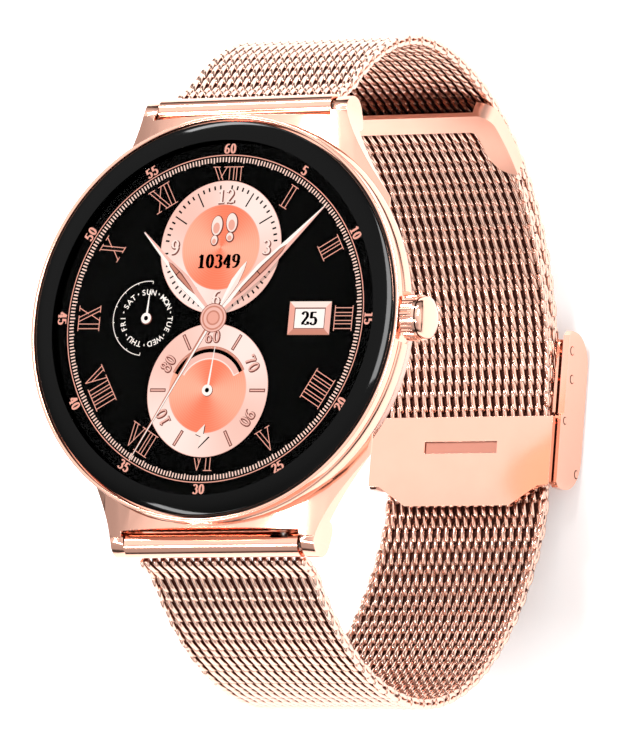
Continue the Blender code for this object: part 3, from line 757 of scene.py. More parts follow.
def digit_strokes():
    """Pen strokes of upright serif figures, one unit high and 0.6 wide."""
    six = [bow(0.3, 0.28, 0.21, 0.26, 0, 360, 20), bow(0.47, 0.4, 0.38, 0.55, 78, 175, 8)]
    nine = [[(0.6 - x, 1 - y) for x, y in stroke] for stroke in six]
    return {
        "0": [bow(0.3, 0.5, 0.21, 0.46, 0, 360, 22)],
        "1": [
            [(0.32, 0.0), (0.32, 0.97)],
            [(0.34, 0.96), (0.22, 0.84), (0.1, 0.8)],
            [(0.08, 0.03), (0.56, 0.03)],
        ],
        "2": [
            bow(0.29, 0.72, 0.2, 0.24, 170, -38, 12) + [(0.08, 0.08)],
            [(0.05, 0.06), (0.2, 0.1), (0.4, 0.04), (0.55, 0.1)],
            [(0.55, 0.04), (0.57, 0.26)],
        ],
        "3": [bow(0.27, 0.74, 0.2, 0.22, 155, -85, 12), bow(0.27, 0.27, 0.23, 0.25, 88, -155, 14)],
        "4": [
            [(0.4, 0.97), (0.03, 0.3)],
            [(0.02, 0.28), (0.58, 0.28)],
            [(0.41, 0.97), (0.41, 0.0)],
            [(0.26, 0.03), (0.56, 0.03)],
        ],
        "5": [
            [(0.12, 0.93), (0.5, 0.93)],
            [(0.13, 0.96), (0.1, 0.48)],
            bow(0.27, 0.3, 0.23, 0.27, 122, -155, 14),
        ],
        "6": six,
        "7": [
            [(0.08, 0.92), (0.55, 0.92)],
            [(0.54, 0.93), (0.36, 0.5), (0.25, 0.0)],
            [(0.08, 0.96), (0.07, 0.72)],
        ],
        "8": [bow(0.3, 0.74, 0.17, 0.22, 0, 360, 18), bow(0.3, 0.27, 0.22, 0.26, 0, 360, 20)],
        "9": nine,
    }


DIGITS = digit_strokes()
DIGIT_STEP = 0.7
DIGIT_MARGIN = 0.05
PEN_SPREAD = 1.6
INK_LAYER = 0.016
MINUTE_TICKS = 300
ROMAN_SIZE = 2.5
ROMAN_PEN = 0.085
ROMAN_WIDTH = {"I": 0.34, "V": 0.66, "X": 0.68}


def roman_lines(letter):
    """Outline of a Roman letter one unit high: its heavy strokes are hollow, its light ones single."""
    if letter == "I":
        return [[(-0.1, 0), (-0.1, 1)], [(0.1, 0), (0.1, 1)], [(-0.2, 0), (0.2, 0)], [(-0.2, 1), (0.2, 1)]]
    if letter == "V":
        return [
            [(-0.3, 1), (0.0, 0)],
            [(-0.12, 1), (0.07, 0.32)],
            [(0.27, 1), (0.0, 0)],
            [(-0.38, 1), (-0.02, 1)],
            [(0.14, 1), (0.38, 1)],
        ]
    return [
        [(-0.31, 1), (0.16, 0)],
        [(-0.13, 1), (0.33, 0)],
        [(0.28, 1), (0.03, 0.55)],
        [(-0.02, 0.42), (-0.26, 0)],
        [(-0.38, 1), (-0.04, 1)],
        [(0.14, 1), (0.38, 1)],
        [(0.08, 0), (0.38, 0)],
        [(-0.38, 0), (-0.12, 0)],
    ]


class Artwork:
    """Flat lit shapes on the display, in millimetres, stacked in thin layers."""

    def __init__(self, centre=(0.0, 0.0)):
        self.centre = centre
        self.points, self.faces, self.inks, self.names = [], [], [], []

    def _ink(self, name):
        if name not in self.names:
            self.names.append(name)
        return self.names.index(name)

    def polygon(self, outline, level, colour):
        first = len(self.points)
        self.points += [(x, y, level) for x, y in outline]
        self.faces.append(list(range(first, first + len(outline))))
        self.inks.append(self._ink(colour))

    def strip(self, left, right, level, colour):
        for a, b, c, d in zip(left, left[1:], right[1:], right):
            self.polygon([a, b, c, d], level, colour)

    def ring(self, inner, outer, level, colour, start=0.0, end=360.0, steps=96, centre=(0, 0)):
        cx, cy = centre
        outside = bow(cx, cy, outer, outer, start, end, steps)
        self.strip(bow(cx, cy, inner, inner, start, end, steps), outside, level, colour)

    def disc(self, radius, level, colour, centre=(0, 0), steps=72):
        outline = bow(centre[0], centre[1], radius, radius, 0, 360, steps)[:-1]
        self.polygon(outline, level, colour)

    def line(self, points, level, colour, thick, thin=None):
        """A pen line; with thin given it is broad where it runs up and down."""
        thin = thick if thin is None else thin
        left, right = [], []
        for i, (x, y) in enumerate(points):
            before, after = points[max(i - 1, 0)], points[min(i + 1, len(points) - 1)]
            dx, dy = after[0] - before[0], after[1] - before[1]
            length = math.hypot(dx, dy)
            half = (thin + (thick - thin) * (abs(dy) / length) ** PEN_SPREAD) / 2
            left.append((x - dy / length * half, y + dx / length * half))
            right.append((x + dy / length * half, y - dx / length * half))
        self.strip(left, right, level, colour)

    def turned(self, other, place, degrees):
        """Adds another artwork, turned and moved."""
        angle = math.radians(degrees)
        cosine, sine = math.cos(angle), math.sin(angle)
        first = len(self.points)
        for x, y, level in other.points:
            self.points.append((place[0] + x * cosine - y * sine, place[1] + x * sine + y * cosine, level))
        for face, index in zip(other.faces, other.inks):
            self.faces.append([first + i for i in face])
            self.inks.append(self._ink(other.names[index]))

    def figures(self, text, height, place, degrees, level, colour, thick=0.17, thin=0.07):
        """Serif figures centred on a place, reading along an angle."""
        word = Artwork()
        start = -len(text) * DIGIT_STEP * height / 2
        for i, figure in enumerate(text):
            left = start + (i * DIGIT_STEP + DIGIT_MARGIN) * height
            for stroke in DIGITS[figure]:
                moved = [(left + x * height, (y - 0.5) * height) for x, y in stroke]
                word.line(moved, level, colour, thick * height, thin * height)
        self.turned(word, place, degrees)

    def build(self, name):
        """Lays the shapes just above the display panel, with the picture's own turn."""
        turn = -bpy.context.scene.smartwatch_dial.turn
        place = Matrix.Rotation(turn, 3, "Z") @ Vector((*self.centre, 0))
        top = (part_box("display_panel")[1].z - DIAL_Z) / MM
        local = [(x * MM, y * MM, level * INK_LAYER * MM) for x, y, level in self.points]
        mesh = bpy.data.meshes.new(name)
        mesh.from_pydata(local, [], self.faces)
        for label in self.names:
            mesh.materials.append(ink(label))
        mesh.polygons.foreach_set("material_index", self.inks)
        mesh.update()
        obj = bpy.data.objects.new(name, mesh)
        seat_point = Matrix.Translation(at(place.x, place.y, top + INK_LAYER))
        obj.matrix_world = seat_point @ Matrix.Rotation(turn, 4, "Z")
        bpy.context.scene.collection.objects.link(obj)
        return seat(obj, "head")


def polar(radius, degrees):
    """Point at a radius and an angle; 0 degrees is at three o'clock and 90 at twelve."""
    angle = math.radians(degrees)
    return radius * math.cos(angle), radius * math.sin(angle)


def minute_track():
    """Ring, ticks and minute numerals; the numerals of the lower half read from inside."""
    dial = bpy.context.scene.smartwatch_dial
    art = Artwork()
    radius = dial.track_radius / MM
    art.ring(radius - 0.05, radius + 0.05, 1, "copper_light", steps=240)
    for i in range(MINUTE_TICKS):
        degrees = 360 * i / MINUTE_TICKS
        long = 0.1 if i % 5 == 0 else 0.0
        art.line([polar(radius - 0.22, degrees), polar(radius - 0.72 - long, degrees)], 1, "tick", 0.15)
    for minute in range(5, 65, 5):
        degrees = 90 - minute * 6
        below = 15 < minute <= 45
        place = polar(dial.numeral_radius / MM, degrees)
        reading = degrees + 90 if below else degrees - 90
        art.figures(str(minute), 1.02, place, reading, 1, "copper_light", 0.24, 0.11)
    art.build("dial_minute_track")


def hour_numerals():
    """Hollow Roman numerals; those of 4 to 8 read from inside, and that of 3 is lower."""
    dial = bpy.context.scene.smartwatch_dial
    art = Artwork()
    names = ("I", "II", "III", "IIII", "V", "VI", "VII", "VIII", "IX", "X", "XI", "XII")
    for hour, name in enumerate(names, 1):
        height = 2.05 if hour == 3 else ROMAN_SIZE
        radius = dial.roman_radius / MM + (0.25 if hour == 3 else 0.0)
        word = Artwork()
        width = sum(ROMAN_WIDTH[letter] for letter in name) * ROMAN_SIZE
        x = -width / 2
        for letter in name:
            step = ROMAN_WIDTH[letter] * ROMAN_SIZE
            for points in roman_lines(letter):
                moved = [(x + step / 2 + a * ROMAN_SIZE, (b - 0.5) * height) for a, b in points]
                word.line(moved, 1, "copper_light", ROMAN_PEN)
            x += step
        degrees = 90 - hour * 30
        reading = degrees + 90 if 4 <= hour <= 8 else degrees - 90
        art.turned(word, polar(radius, degrees), reading)
    art.build("dial_hour_numerals")


def sub_dial(name, centre, marks):
    """A pale ring round a coral disc, with whatever marks it carries."""
    dial = bpy.context.scene.smartwatch_dial
    outer, inner = dial.subdial_radius / MM, dial.disc_radius / MM
    art = Artwork(centre)
    art.disc(outer + 0.12, 2, "black")
    art.ring(inner, outer, 3, "pale_ring")
    art.ring(outer - 0.06, outer, 4, "pink")
    art.disc(inner, 3, "coral_disc")
    art.ring(inner - 0.03, inner + 0.03, 4, "pink")
    marks(art)
    art.build(name)


def step_marks(art):
    """Fifty-six ticks, four figures, a pair of footprints and the step count."""
    for i in range(60):
        degrees = i * 6
        if i % 15 == 0:
            continue
        if i % 5 == 0:
            art.line([polar(4.95, degrees), polar(6.6, degrees)], 4, "black", 0.15)
        else:
            art.line([polar(6.2, degrees), polar(6.64, degrees)], 4, "black", 0.19)
    for text, place in (("12", (0, 5.45)), ("3", (5.4, 0)), ("6", (0, -5.4)), ("9", (-5.45, 0))):
        art.figures(text, 1.5, (place[0] + 0.07, place[1] - 0.08), 0, 4, "brown", 0.3, 0.17)
        art.figures(text, 1.5, place, 0, 5, "pale", 0.18, 0.07)
    soles = (((-0.69, 2.3), 0.62, 1.02, -4), ((1.03, 2.62), 0.62, 1.0, 4))
    heels = (((-0.86, 0.75), 0.36, 0.5, -4), ((0.92, 1.1), 0.4, 0.46, 4))
    for place, across, along, lean in soles + heels:
        for offset, grow, level, colour in ((0.04, 0.12, 4, "brown"), (0.0, 0.0, 5, "pale")):
            print_shape = Artwork()
            print_shape.polygon(bow(0, 0, across + grow, along + grow, 0, 360, 28)[:-1], level, colour)
            art.turned(print_shape, (place[0] + offset, place[1] - offset), lean)
        worn = Artwork()
        worn.polygon(bow(0, -0.26 * along, across * 0.62, along * 0.58, 0, 360, 28)[:-1], 6, "copper_light")
        art.turned(worn, place, lean)
    art.figures("10349", 1.46, (-0.1, -1.5), 0, 5, "black", 0.27, 0.1)


def battery_marks(art):
    """Sticks and figures round the ring, the gauge's arc and its needle."""
    for degrees in (0, 60, 120, 180, 240, 300):
        art.line([polar(4.95, degrees), polar(6.8, degrees)], 4, "brown", 0.38)
        art.line([polar(5.05, degrees), polar(6.7, degrees)], 5, "pink", 0.14)
    for text, degrees in (("60", 90), ("70", 30), ("90", -30), ("10", 210), ("80", 150)):
        place = polar(5.75, degrees)
        shade = (place[0] + 0.06, place[1] - 0.06)
        art.figures(text, 1.3, shade, degrees - 90, 4, "brown", 0.28, 0.16)
        art.figures(text, 1.3, place, degrees - 90, 5, "pink", 0.13, 0.06)
    art.ring(4.42, 4.7, 4, "hub_mid", 28, 156, 48)
    art.ring(4.02, 4.42, 5, "black", 28, 156, 48)
    art.ring(3.35, 4.02, 5, "pink", 28, 152, 48)
    art.ring(3.28, 3.42, 6, "pale", 28, 152, 48)
    art.line([polar(3.3, 28), polar(4.02, 28)], 6, "pale", 0.12)
    bolt = [(0.1, -3.64), (-1.02, -4.68), (-0.3, -4.95), (-0.57, -6.17), (0.72, -4.91), (0.0, -4.65)]
    art.polygon([(x + 0.08, y - 0.06) for x, y in bolt], 5, "black")
    art.polygon([(x * 0.92, y + 0.04) for x, y in bolt], 6, "pale")
    needle_hub(art, 84.5, 4.65, 0.13, 0.6)


def needle_hub(art, degrees, length, width, radius):
    """A small tapered needle on a ring."""
    needle = Artwork()
    needle.strip([(0, -width), (length, -width / 4)], [(0, width), (length, width / 4)], 7, "white")
    art.turned(needle, (0, 0), degrees)
    art.disc(radius + 0.04, 8, "hub_dark", (0.05, -0.05), 32)
    art.disc(radius, 9, "white", steps=32)
    art.disc(radius * 0.42, 10, "black", steps=24)


def weekday_dial():
    """Seven weekday names round a needle, with an arc scale outside the left half."""
    art = Artwork((-8.05, 0.0))
    radius = 2.83
    for i, word in enumerate(("SUN", "MON", "TUE", "WED", "THU", "FRI", "SAT")):
        middle = 90 - i * 360 / 7
        for j, letter in enumerate(word):
            degrees = middle - (j - 1) * 12.3
            art.turned(lettering(letter, 0.62, 2, "white"), polar(radius, degrees), degrees - 90)
        dot = polar(radius + 0.02, middle - 180 / 7)
        diamond = [(0, 0.14), (0.08, 0), (0, -0.14), (-0.08, 0)]
        art.polygon([(dot[0] + x, dot[1] + y) for x, y in diamond], 2, "white")
    start, end = 84, 264
    art.ring(3.93, 4.01, 2, "white", start, end, 60)
    for i in range(8):
        degrees = start + (end - start) * i / 7
        reach = 0.28 if i in (0, 7) else 0.18
        art.line([polar(3.97, degrees), polar(3.97 - reach, degrees)], 2, "white", 0.07)
    needle_hub(art, 87, 2.95, 0.14, 0.58)
    art.build("dial_weekday")


def lettering(letter, height, level, colour):
    """One capital letter as a flat shape, centred."""
    curve = bpy.data.curves.new("letter", "FONT")
    curve.body = letter
    curve.size = height * 1.35
    curve.align_x = "CENTER"
    curve.offset = 0.012
    obj = bpy.data.objects.new("letter", curve)
    bpy.context.scene.collection.objects.link(obj)
    graph = bpy.context.evaluated_depsgraph_get()
    mesh = bpy.data.meshes.new_from_object(obj.evaluated_get(graph))
    art = Artwork()
    for face in mesh.polygons:
        outline = [mesh.vertices[i].co for i in face.vertices]
        art.polygon([(p.x, p.y - height / 2) for p in outline], level, colour)
    bpy.data.objects.remove(obj)
    bpy.data.curves.remove(curve)
    bpy.data.meshes.remove(mesh)
    return art


def date_window():
    """A bevelled frame lit from above, round the day of the month."""
    art = Artwork((11.21, 0.0))
    x, y, a, b = 2.45, 1.77, 1.8, 1.12
    sides = {
        "pale": [(-x, y), (x, y), (a, b), (-a, b)],
        "pink": [(x, y), (x, -y), (a, -b), (a, b)],
        "hub_mid": [(-x, -y), (-a, -b), (a, -b), (x, -y)],
        "copper_light": [(-x, y), (-a, b), (-a, -b), (-x, -y)],
    }
    for colour, outline in sides.items():
        art.polygon(outline, 2, colour)
    art.polygon([(-a, b), (a, b), (a, -b), (-a, -b)], 3, "brown")
    left, right, upper, lower = -a + 0.1, a - 0.06, b - 0.14, -b + 0.06
    art.polygon([(left, upper), (right, upper), (right, lower), (left, lower)], 4, "white")
    art.figures("25", 1.45, (0.0, -0.02), 0, 5, "black", 0.24, 0.1)
    art.build("dial_date_window")


def leaf_hand(art, degrees, outline, slot, bars, level):
    """A faceted leaf hand with an open slot and cross bars; outline and slot are (reach, half width)."""
    reach = sorted({r for r, _ in outline} | {r for r, _ in slot} | set(np.linspace(0, outline[-1][0], 30)))
    wide = np.interp(reach, *zip(*outline))
    open_half = np.interp(reach, *zip(*slot), left=0.0, right=0.0)
    for sign, colour in ((1, "white"), (-1, "pink")):
        hand = Artwork()
        inner = [(r, sign * s) for r, s in zip(reach, open_half)]
        hand.strip(inner, [(r, sign * w) for r, w in zip(reach, wide)], level, colour)
        art.turned(hand, (0, 0), degrees)
    cast = Artwork()
    edges = list(zip(reach, wide))
    cast.strip(edges, [(r, -w) for r, w in edges], level - 2, "shadow")
    art.turned(cast, (0.2, -0.24), degrees)
    gap = Artwork()
    for share, depth, colour in ((1.0, 1, "brown"), (0.6, 0.5, "hub_mid")):
        upper, lower = [(r, s * share) for r, s in slot], [(r, -s * share) for r, s in slot]
        gap.strip(upper, lower, level - depth, colour)
    for bar in bars:
        half = float(np.interp(bar, *zip(*slot)))
        gap.line([(bar, -half), (bar, half)], level + 1, "black", 0.09)
    art.turned(gap, (0, 0), degrees)


def hands():
    """Hour, minute and second hands on a ringed hub."""
    art = Artwork()
    leaf_hand(
        art, 135,
        [(0, 0.3), (1.5, 0.34), (5.6, 0.72), (8.6, 0.34), (11.0, 0.2), (13.0, 0.07)],
        [(3.5, 0.0), (4.6, 0.2), (6.4, 0.34), (8.0, 0.2), (8.5, 0.0)],
        (6.75,), 9,
    )
    leaf_hand(
        art, 45,
        [(0, 0.3), (1.5, 0.34), (7.2, 0.74), (11.2, 0.42), (14.0, 0.24), (17.0, 0.05)],
        [(2.6, 0.0), (4.5, 0.26), (7.6, 0.34), (10.2, 0.24), (11.1, 0.0)],
        (4.0, 6.8), 12,
    )
    sweep = Artwork()
    sweep.strip([(-0.2, 0.27), (17.4, 0.07)], [(-0.2, -0.27), (17.4, -0.07)], 15, "brown")
    sweep.strip([(0.9, 0.2), (17.4, 0.05)], [(0.9, -0.2), (17.4, -0.05)], 16, "white")
    sweep.strip([(0.9, -0.02), (17.4, 0.0)], [(0.9, -0.2), (17.4, -0.05)], 17, "hub_mid")
    leaf = [(1.2, 0.1), (2.6, 0.3), (4.4, 0.46), (6.0, 0.26), (6.86, 0.03)]
    sweep.strip([(-r, w) for r, w in leaf], [(-r, 0) for r, _ in leaf], 15, "pale")
    sweep.strip([(-r, 0) for r, _ in leaf], [(-r, -w) for r, w in leaf], 15, "white")
    sweep.line([(-r, w + 0.02) for r, w in leaf], 16, "brown", 0.05)
    art.turned(sweep, (0, 0), 241)
    hub = (
        (1.56, "hub_dark"), (1.48, "pink"), (1.3, "hub_mid"), (1.12, "pink"), (0.8, "hub_mid"),
        (0.62, "copper_light"),
    )
    for step, (radius, colour) in enumerate(hub):
        art.disc(radius, 17.5 + step * 0.5, colour, steps=48)
    art.build("dial_hands")


# ---------------------------------------------------------------- stage

CAMERA_PLACE = (0.46957, -0.18322, 0.92965)
CAMERA_TURN = (12.5224, 27.059, 4.8535)
CAMERA_REACH = (0.01, 20.0)
SENSOR_WIDTH = 36.0
LIGHT_AIM = (0, 0, 0.035)
FLOOR_GLOW = 0.2
FLOOR_DROP = 0.0002
BACK_LIGHT_SHARE = 1.3
SKY = 0.5
HORIZON = 0.06
GROUND = 0.8

# Soft bright patches: middle direction, cosine at the faint and at the full edge, strength.
PANELS = (
    ((-0.46, 0.32, 0.82), 0.8, 0.99, 0.85),
    ((0.46, -0.18, 0.87), 0.6, 0.95, 0.75),
    ((0.95, 0.1, 0.35), 0.8, 0.95, 0.7),
    ((0.2, -0.95, 0.3), 0.85, 0.97, 0.5),
)


class SMARTWATCH_OT_stage(bpy.types.Operator):
    """Make the floor, the soft studio light and the camera"""

    bl_idname = "smartwatch.stage"
    bl_label = "Stage"

    def execute(self, context):
        stage = context.scene.smartwatch_stage
        half = stage.floor_size / 2
        corners = [(-half, -half, 0), (half, -half, 0), (half, half, 0), (-half, half, 0)]
        mesh = bpy.data.meshes.new("floor")
        mesh.from_pydata(corners, [], [(0, 1, 2, 3)])
        material, _, shader = new_material("pale_floor")
        shader.inputs["Base Color"].default_value = (*stage.floor, 1)
        shader.inputs["Roughness"].default_value = 0.9
        shader.inputs["Specular IOR Level"].default_value = 0.1
        shader.inputs["Emission Color"].default_value = (1, 1, 1, 1)
        shader.inputs["Emission Strength"].default_value = FLOOR_GLOW
        mesh.materials.append(material)
        floor = bpy.data.objects.new("floor", mesh)
        context.scene.collection.objects.link(floor)
        floor.location.z = -FLOOR_DROP
        soft_light("overhead_light", (0.05, 0.3, 1.15), (0.14, 0.6), stage.key)
        soft_light("back_light", (-0.4, 0.74, 0.78), (0.5, 0.08), stage.rim * BACK_LIGHT_SHARE)
        soft_light("front_light", (-0.48, -0.42, 0.96), (0.5, 0.07), stage.rim)
        room_light(context.scene, stage.room)
        data = bpy.data.cameras.new("camera")
        data.lens = stage.lens
        data.sensor_width = SENSOR_WIDTH
        data.clip_start, data.clip_end = CAMERA_REACH
        camera = bpy.data.objects.new("camera", data)
        context.scene.collection.objects.link(camera)
        camera.location = CAMERA_PLACE
        camera.rotation_euler = [math.radians(v) for v in CAMERA_TURN]
        context.scene.camera = camera
        context.scene.view_settings.view_transform = "Standard"
        return {"FINISHED"}


def soft_light(name, place, size, power):
    """A rectangular light aimed at the watch."""
    data = bpy.data.lights.new(name, "AREA")
    data.shape = "RECTANGLE"
    data.size, data.size_y = size
    data.energy = power
    light = bpy.data.objects.new(name, data)
    bpy.context.scene.collection.objects.link(light)
    light.location = place
    aim = Vector(LIGHT_AIM) - Vector(place)
    light.rotation_mode = "QUATERNION"
    light.rotation_quaternion = aim.to_track_quat("-Z", "Y")


def room_light(scene, level):
    """A pale sky and ground with a dim horizon, and soft bright panels."""
    world = bpy.data.worlds.new("studio")
    scene.world = world
    world.use_nodes = True
    tree = world.node_tree
    background = tree.nodes["Background"]
    background.inputs["Color"].default_value = (1, 1, 1, 1)
    place = tree.nodes.new("ShaderNodeTexCoord")
    above = direction_patch(tree, place, (0, 0, 1), 0.16, 0.36)
    below = direction_patch(tree, place, (0, 0, -1), 0.04, 0.16)
    total = math_node(tree, "ADD", math_node(tree, "MULTIPLY", above, SKY), HORIZON)
    total = math_node(tree, "ADD", total, math_node(tree, "MULTIPLY", below, GROUND))
    for direction, outer, inner, strength in PANELS:
        share = direction_patch(tree, place, direction, outer, inner)
        total = math_node(tree, "ADD", total, math_node(tree, "MULTIPLY", share, strength))
    tree.links.new(math_node(tree, "MULTIPLY", total, level), background.inputs["Strength"])


def direction_patch(tree, place, direction, outer, inner):
    """1 near a direction and 0 away from it; outer and inner are cosines."""
    dot = tree.nodes.new("ShaderNodeVectorMath")
    dot.operation = "DOT_PRODUCT"
    tree.links.new(place.outputs["Generated"], dot.inputs[0])
    dot.inputs[1].default_value = Vector(direction).normalized()
    spread = tree.nodes.new("ShaderNodeMapRange")
    spread.interpolation_type = "SMOOTHSTEP"
    spread.inputs["From Min"].default_value = outer
    spread.inputs["From Max"].default_value = inner
    tree.links.new(dot.outputs["Value"], spread.inputs["Value"])
    return spread.outputs["Result"]


# ---------------------------------------------------------------- pieces


class SMARTWATCH_OT_case(bpy.types.Operator):
    """Finish the case, make its bezel and back"""

    bl_idname = "smartwatch.case"
    bl_label = "Case and bezel"

    def execute(self, context):
        dress(["case_body"], polished_rose(), sharp=40)
        low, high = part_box("bezel_ring")
        outer = high.x / MM
        top, bottom = (high.z - DIAL_Z) / MM, (low.z - DIAL_Z) / MM
        inner = outer - BEZEL_WIDTH
        section = rounded([(inner, top), (outer, top), (outer, bottom), (inner, bottom)], BEZEL_ROUND)
        points, faces = lathe(section + section[:1], ROUND_STEPS)
        new_piece(
            "bezel_ring_polished", from_dial(points), faces, [polished_rose()], "head",
            replaced=["bezel_ring"],
        )
        dress(["case_back"], polished_rose(), sharp=30)
        dress(["sensor_window"], black_glass(), sharp=30)
        gold = worn_finish("gold_contact_metal", (0.9, 0.62, 0.25), 0.2)
        dress(["charge_contact_left", "charge_contact_right"], gold)
        dress([f"back_screw_{i}" for i in range(1, 5)], steel())
        return {"FINISHED"}


def black_glass():
    """Glass printed black from behind."""
    made = worn_finish("black_gloss", (0.0006, 0.0006, 0.0006), 0.05, 0.0, 0.01, 500.0, 0.0)
    made.node_tree.nodes["Principled BSDF"].inputs["IOR"].default_value = 1.2
    return made


def screen_black():
    """The unlit screen: black, with the glass's own gloss in front of it."""
    material, tree, shader = new_material("screen_black")
    wear = placed(tree, wear_group(), {"Gloss": 0.03, "Unevenness": 0.01, "Grain": 500.0})
    tree.links.new(wear.outputs["Roughness"], shader.inputs["Roughness"])
    shader.inputs["Base Color"].default_value = (0.0002, 0.0002, 0.0002, 1)
    shader.inputs["IOR"].default_value = 1.1
    return material


class SMARTWATCH_OT_glass(bpy.types.Operator):
    """Make the domed cover glass and the display behind it"""

    bl_idname = "smartwatch.glass"
    bl_label = "Cover glass"

    def execute(self, context):
        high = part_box("cover_glass")[1]
        radius, top = high.x / MM, (high.z - DIAL_Z) / MM
        edge, border = 0.12, 0.9
        profile = [(0, top)]
        for share in np.concatenate((np.linspace(0.5, border, 13), np.linspace(border, 1.0, 16)[1:])):
            profile.append((radius * share, top - (top - edge) * share**14))
        profile += [(radius, 0.02), (radius - 0.03, 0.0), (radius * border, 0.0), (0, 0.0)]
        points, faces = lathe(profile, ROUND_STEPS)
        material, _, shader = new_material("clear_cover_glass")
        shader.inputs["Base Color"].default_value = (1, 1, 1, 1)
        shader.inputs["Transmission Weight"].default_value = 1.0
        shader.inputs["IOR"].default_value = 1.0
        shader.inputs["Roughness"].default_value = 0.0
        inks = [
            int(min(a, b) > radius * border - 0.01)
            for (a, _), (b, _) in zip(profile, profile[1:])
            for _ in range(ROUND_STEPS)
        ]
        new_piece(
            "cover_glass_lens", from_dial(points), faces, [material, black_glass()], "head",
            replaced=["cover_glass"], inks=inks,
        )
        dress(["display_panel"], screen_black())
        dress(["glass_gasket"], worn_finish("seal_rubber_matt", (0.01, 0.01, 0.01), 0.7, 0.0, 0.1))
        return {"FINISHED"}


class SMARTWATCH_OT_dial(bpy.types.Operator):
    """Draw the lit dial"""

    bl_idname = "smartwatch.dial"
    bl_label = "Dial"

    def execute(self, context):
        minute_track()
        hour_numerals()
        sub_dial("dial_step_counter", (0.0, 7.57), step_marks)
        sub_dial("dial_battery_gauge", (0.0, -7.66), battery_marks)
        weekday_dial()
        date_window()
        hands()
        return {"FINISHED"}


class SMARTWATCH_OT_crown(bpy.types.Operator):
    """Finish the crown and its parts"""

    bl_idname = "smartwatch.crown"
    bl_label = "Crown"

    def execute(self, context):
        dress(["crown_knob"], polished_rose(), bevel=0.05, sharp=28)
        dress(["crown_cap"], polished_rose(), sharp=40)
        dress(["crown_stem", "stem_clip", "crown_switch"], steel())
        dress(["crown_tube"], worn_finish("brass_tube_metal", (0.75, 0.52, 0.22), 0.3))
        dress(["encoder_wheel"], dark_plastic())
        return {"FINISHED"}


class SMARTWATCH_OT_band(bpy.types.Operator):
    """Weave both straps and finish the bars that carry them"""

    bl_idname = "smartwatch.band"
    bl_label = "Woven band"

    def execute(self, context):
        weave("upper_mesh", upper_line(), "upper_strap", 0.0)
        weave("lower_mesh", lower_line(), "lower_strap", context.scene.smartwatch_band.row_shift)
        dress(["upper_end_bar", "lower_end_bar"], polished_rose())
        dress(["upper_spring_bar", "lower_spring_bar", "upper_release_pin", "lower_release_pin"], steel())
        dress(["tail_tip"], brushed_rose(), bevel=0.12)
        return {"FINISHED"}


SLOT_HALF = 4.36
SLOT_SIDES = (-3.21, -1.99)
SLOT_DEPTHS = (0.6, 0.2)
PLATE_CURVATURE = 9.0


def slot_rose():
    """Darker, rougher metal at the bottom of the slot."""
    return worn_finish("rose_slot_metal", (0.6, 0.27, 0.2), 0.55, 0.5, 0.08)


class SMARTWATCH_OT_clasp(bpy.types.Operator):
    """Finish the clasp and fill the lock plate's slot"""

    bl_idname = "smartwatch.clasp"
    bl_label = "Clasp"

    def execute(self, context):
        dress(["clasp_frame"], polished_rose(), sharp=30)
        dress(["clasp_cover", "end_bracket"], polished_rose(), bevel=0.12)
        low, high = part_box("lock_plate")
        dress(["lock_plate"], crowned_rose((low.y + high.y) / 2, PLATE_CURVATURE), bevel=0.14)
        dress(["guide_rail_left", "guide_rail_right"], satin_rose())
        pins = ["cover_hinge_pin", "lock_pivot_left", "lock_pivot_right"]
        pins += [f"rail_rivet_{side}_{i}" for side in ("left", "right") for i in (1, 2)]
        dress(pins, polished_rose())
        top = (high.z - DIAL_Z) / MM
        x, y0, y1 = SLOT_HALF, *SLOT_SIDES
        corners = [(-x, y0), (x, y0), (x, y1), (-x, y1)]
        points = [(a, b, top - depth) for depth in SLOT_DEPTHS for a, b in corners]
        faces = [(3, 2, 1, 0), (4, 5, 6, 7)] + [(i, (i + 1) % 4, (i + 1) % 4 + 4, i + 4) for i in range(4)]
        new_piece(
            "lock_slot_floor", from_dial(points), faces, [slot_rose()], "lock_plate",
            smooth=False,
        )
        return {"FINISHED"}


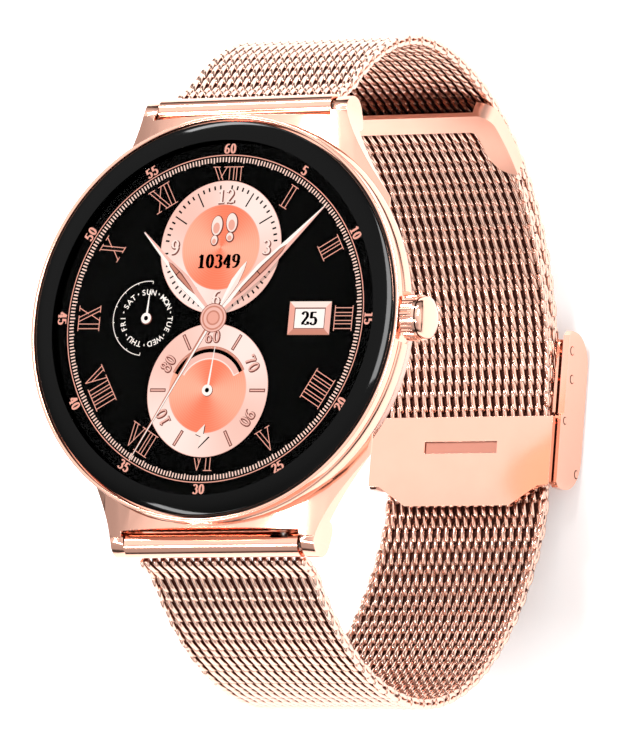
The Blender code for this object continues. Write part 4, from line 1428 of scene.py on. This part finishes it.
class SMARTWATCH_OT_inside(bpy.types.Operator):
    """Finish the parts inside the head"""

    bl_idname = "smartwatch.inside"
    bl_label = "Inside parts"

    def execute(self, context):
        lacquer = worn_finish("board_green_lacquer", (0.01, 0.1, 0.04), 0.35, 0.0, 0.1)
        dress(["main_board", "sensor_board"], lacquer)
        dress(["battery"], worn_finish("battery_foil_wrap", (0.5, 0.5, 0.52), 0.4, 0.7, 0.1), bevel=0.1)
        dress(["processor_shield", "vibration_motor"], steel())
        dress(["display_frame", "speaker"], dark_plastic())
        return {"FINISHED"}


class SMARTWATCH_PT_panel(bpy.types.Panel):
    """Lists the smartwatch's pieces and settings"""

    bl_idname = "SMARTWATCH_PT_panel"
    bl_label = "Smartwatch"
    bl_space_type = "VIEW_3D"
    bl_region_type = "UI"
    bl_category = "Smartwatch"

    def draw(self, context):
        for settings in SETTINGS:
            box = self.layout.box()
            group = getattr(context.scene, settings)
            for name in group.bl_rna.properties.keys():
                if name not in ("rna_type", "name"):
                    box.prop(group, name)
        for step in STEPS:
            self.layout.operator(step.bl_idname)


STEPS = (
    SMARTWATCH_OT_stage,
    SMARTWATCH_OT_case,
    SMARTWATCH_OT_glass,
    SMARTWATCH_OT_dial,
    SMARTWATCH_OT_crown,
    SMARTWATCH_OT_band,
    SMARTWATCH_OT_clasp,
    SMARTWATCH_OT_inside,
)


def register():
    for made in (*SETTINGS.values(), *STEPS, SMARTWATCH_PT_panel):
        bpy.utils.register_class(made)
    for name, made in SETTINGS.items():
        setattr(bpy.types.Scene, name, PointerProperty(type=made))


def unregister():
    for name in SETTINGS:
        delattr(bpy.types.Scene, name)
    for made in (SMARTWATCH_PT_panel, *reversed(STEPS), *reversed(SETTINGS.values())):
        bpy.utils.unregister_class(made)


def main():
    for obj in [o for o in bpy.data.objects if "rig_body" not in o and not o.name.startswith("body:")]:
        bpy.data.objects.remove(obj)
    register()
    bpy.ops.smartwatch.stage()
    bpy.ops.smartwatch.case()
    bpy.ops.smartwatch.glass()
    bpy.ops.smartwatch.dial()
    bpy.ops.smartwatch.crown()
    bpy.ops.smartwatch.band()
    bpy.ops.smartwatch.clasp()
    bpy.ops.smartwatch.inside()


if __name__ == "__main__":
    main()
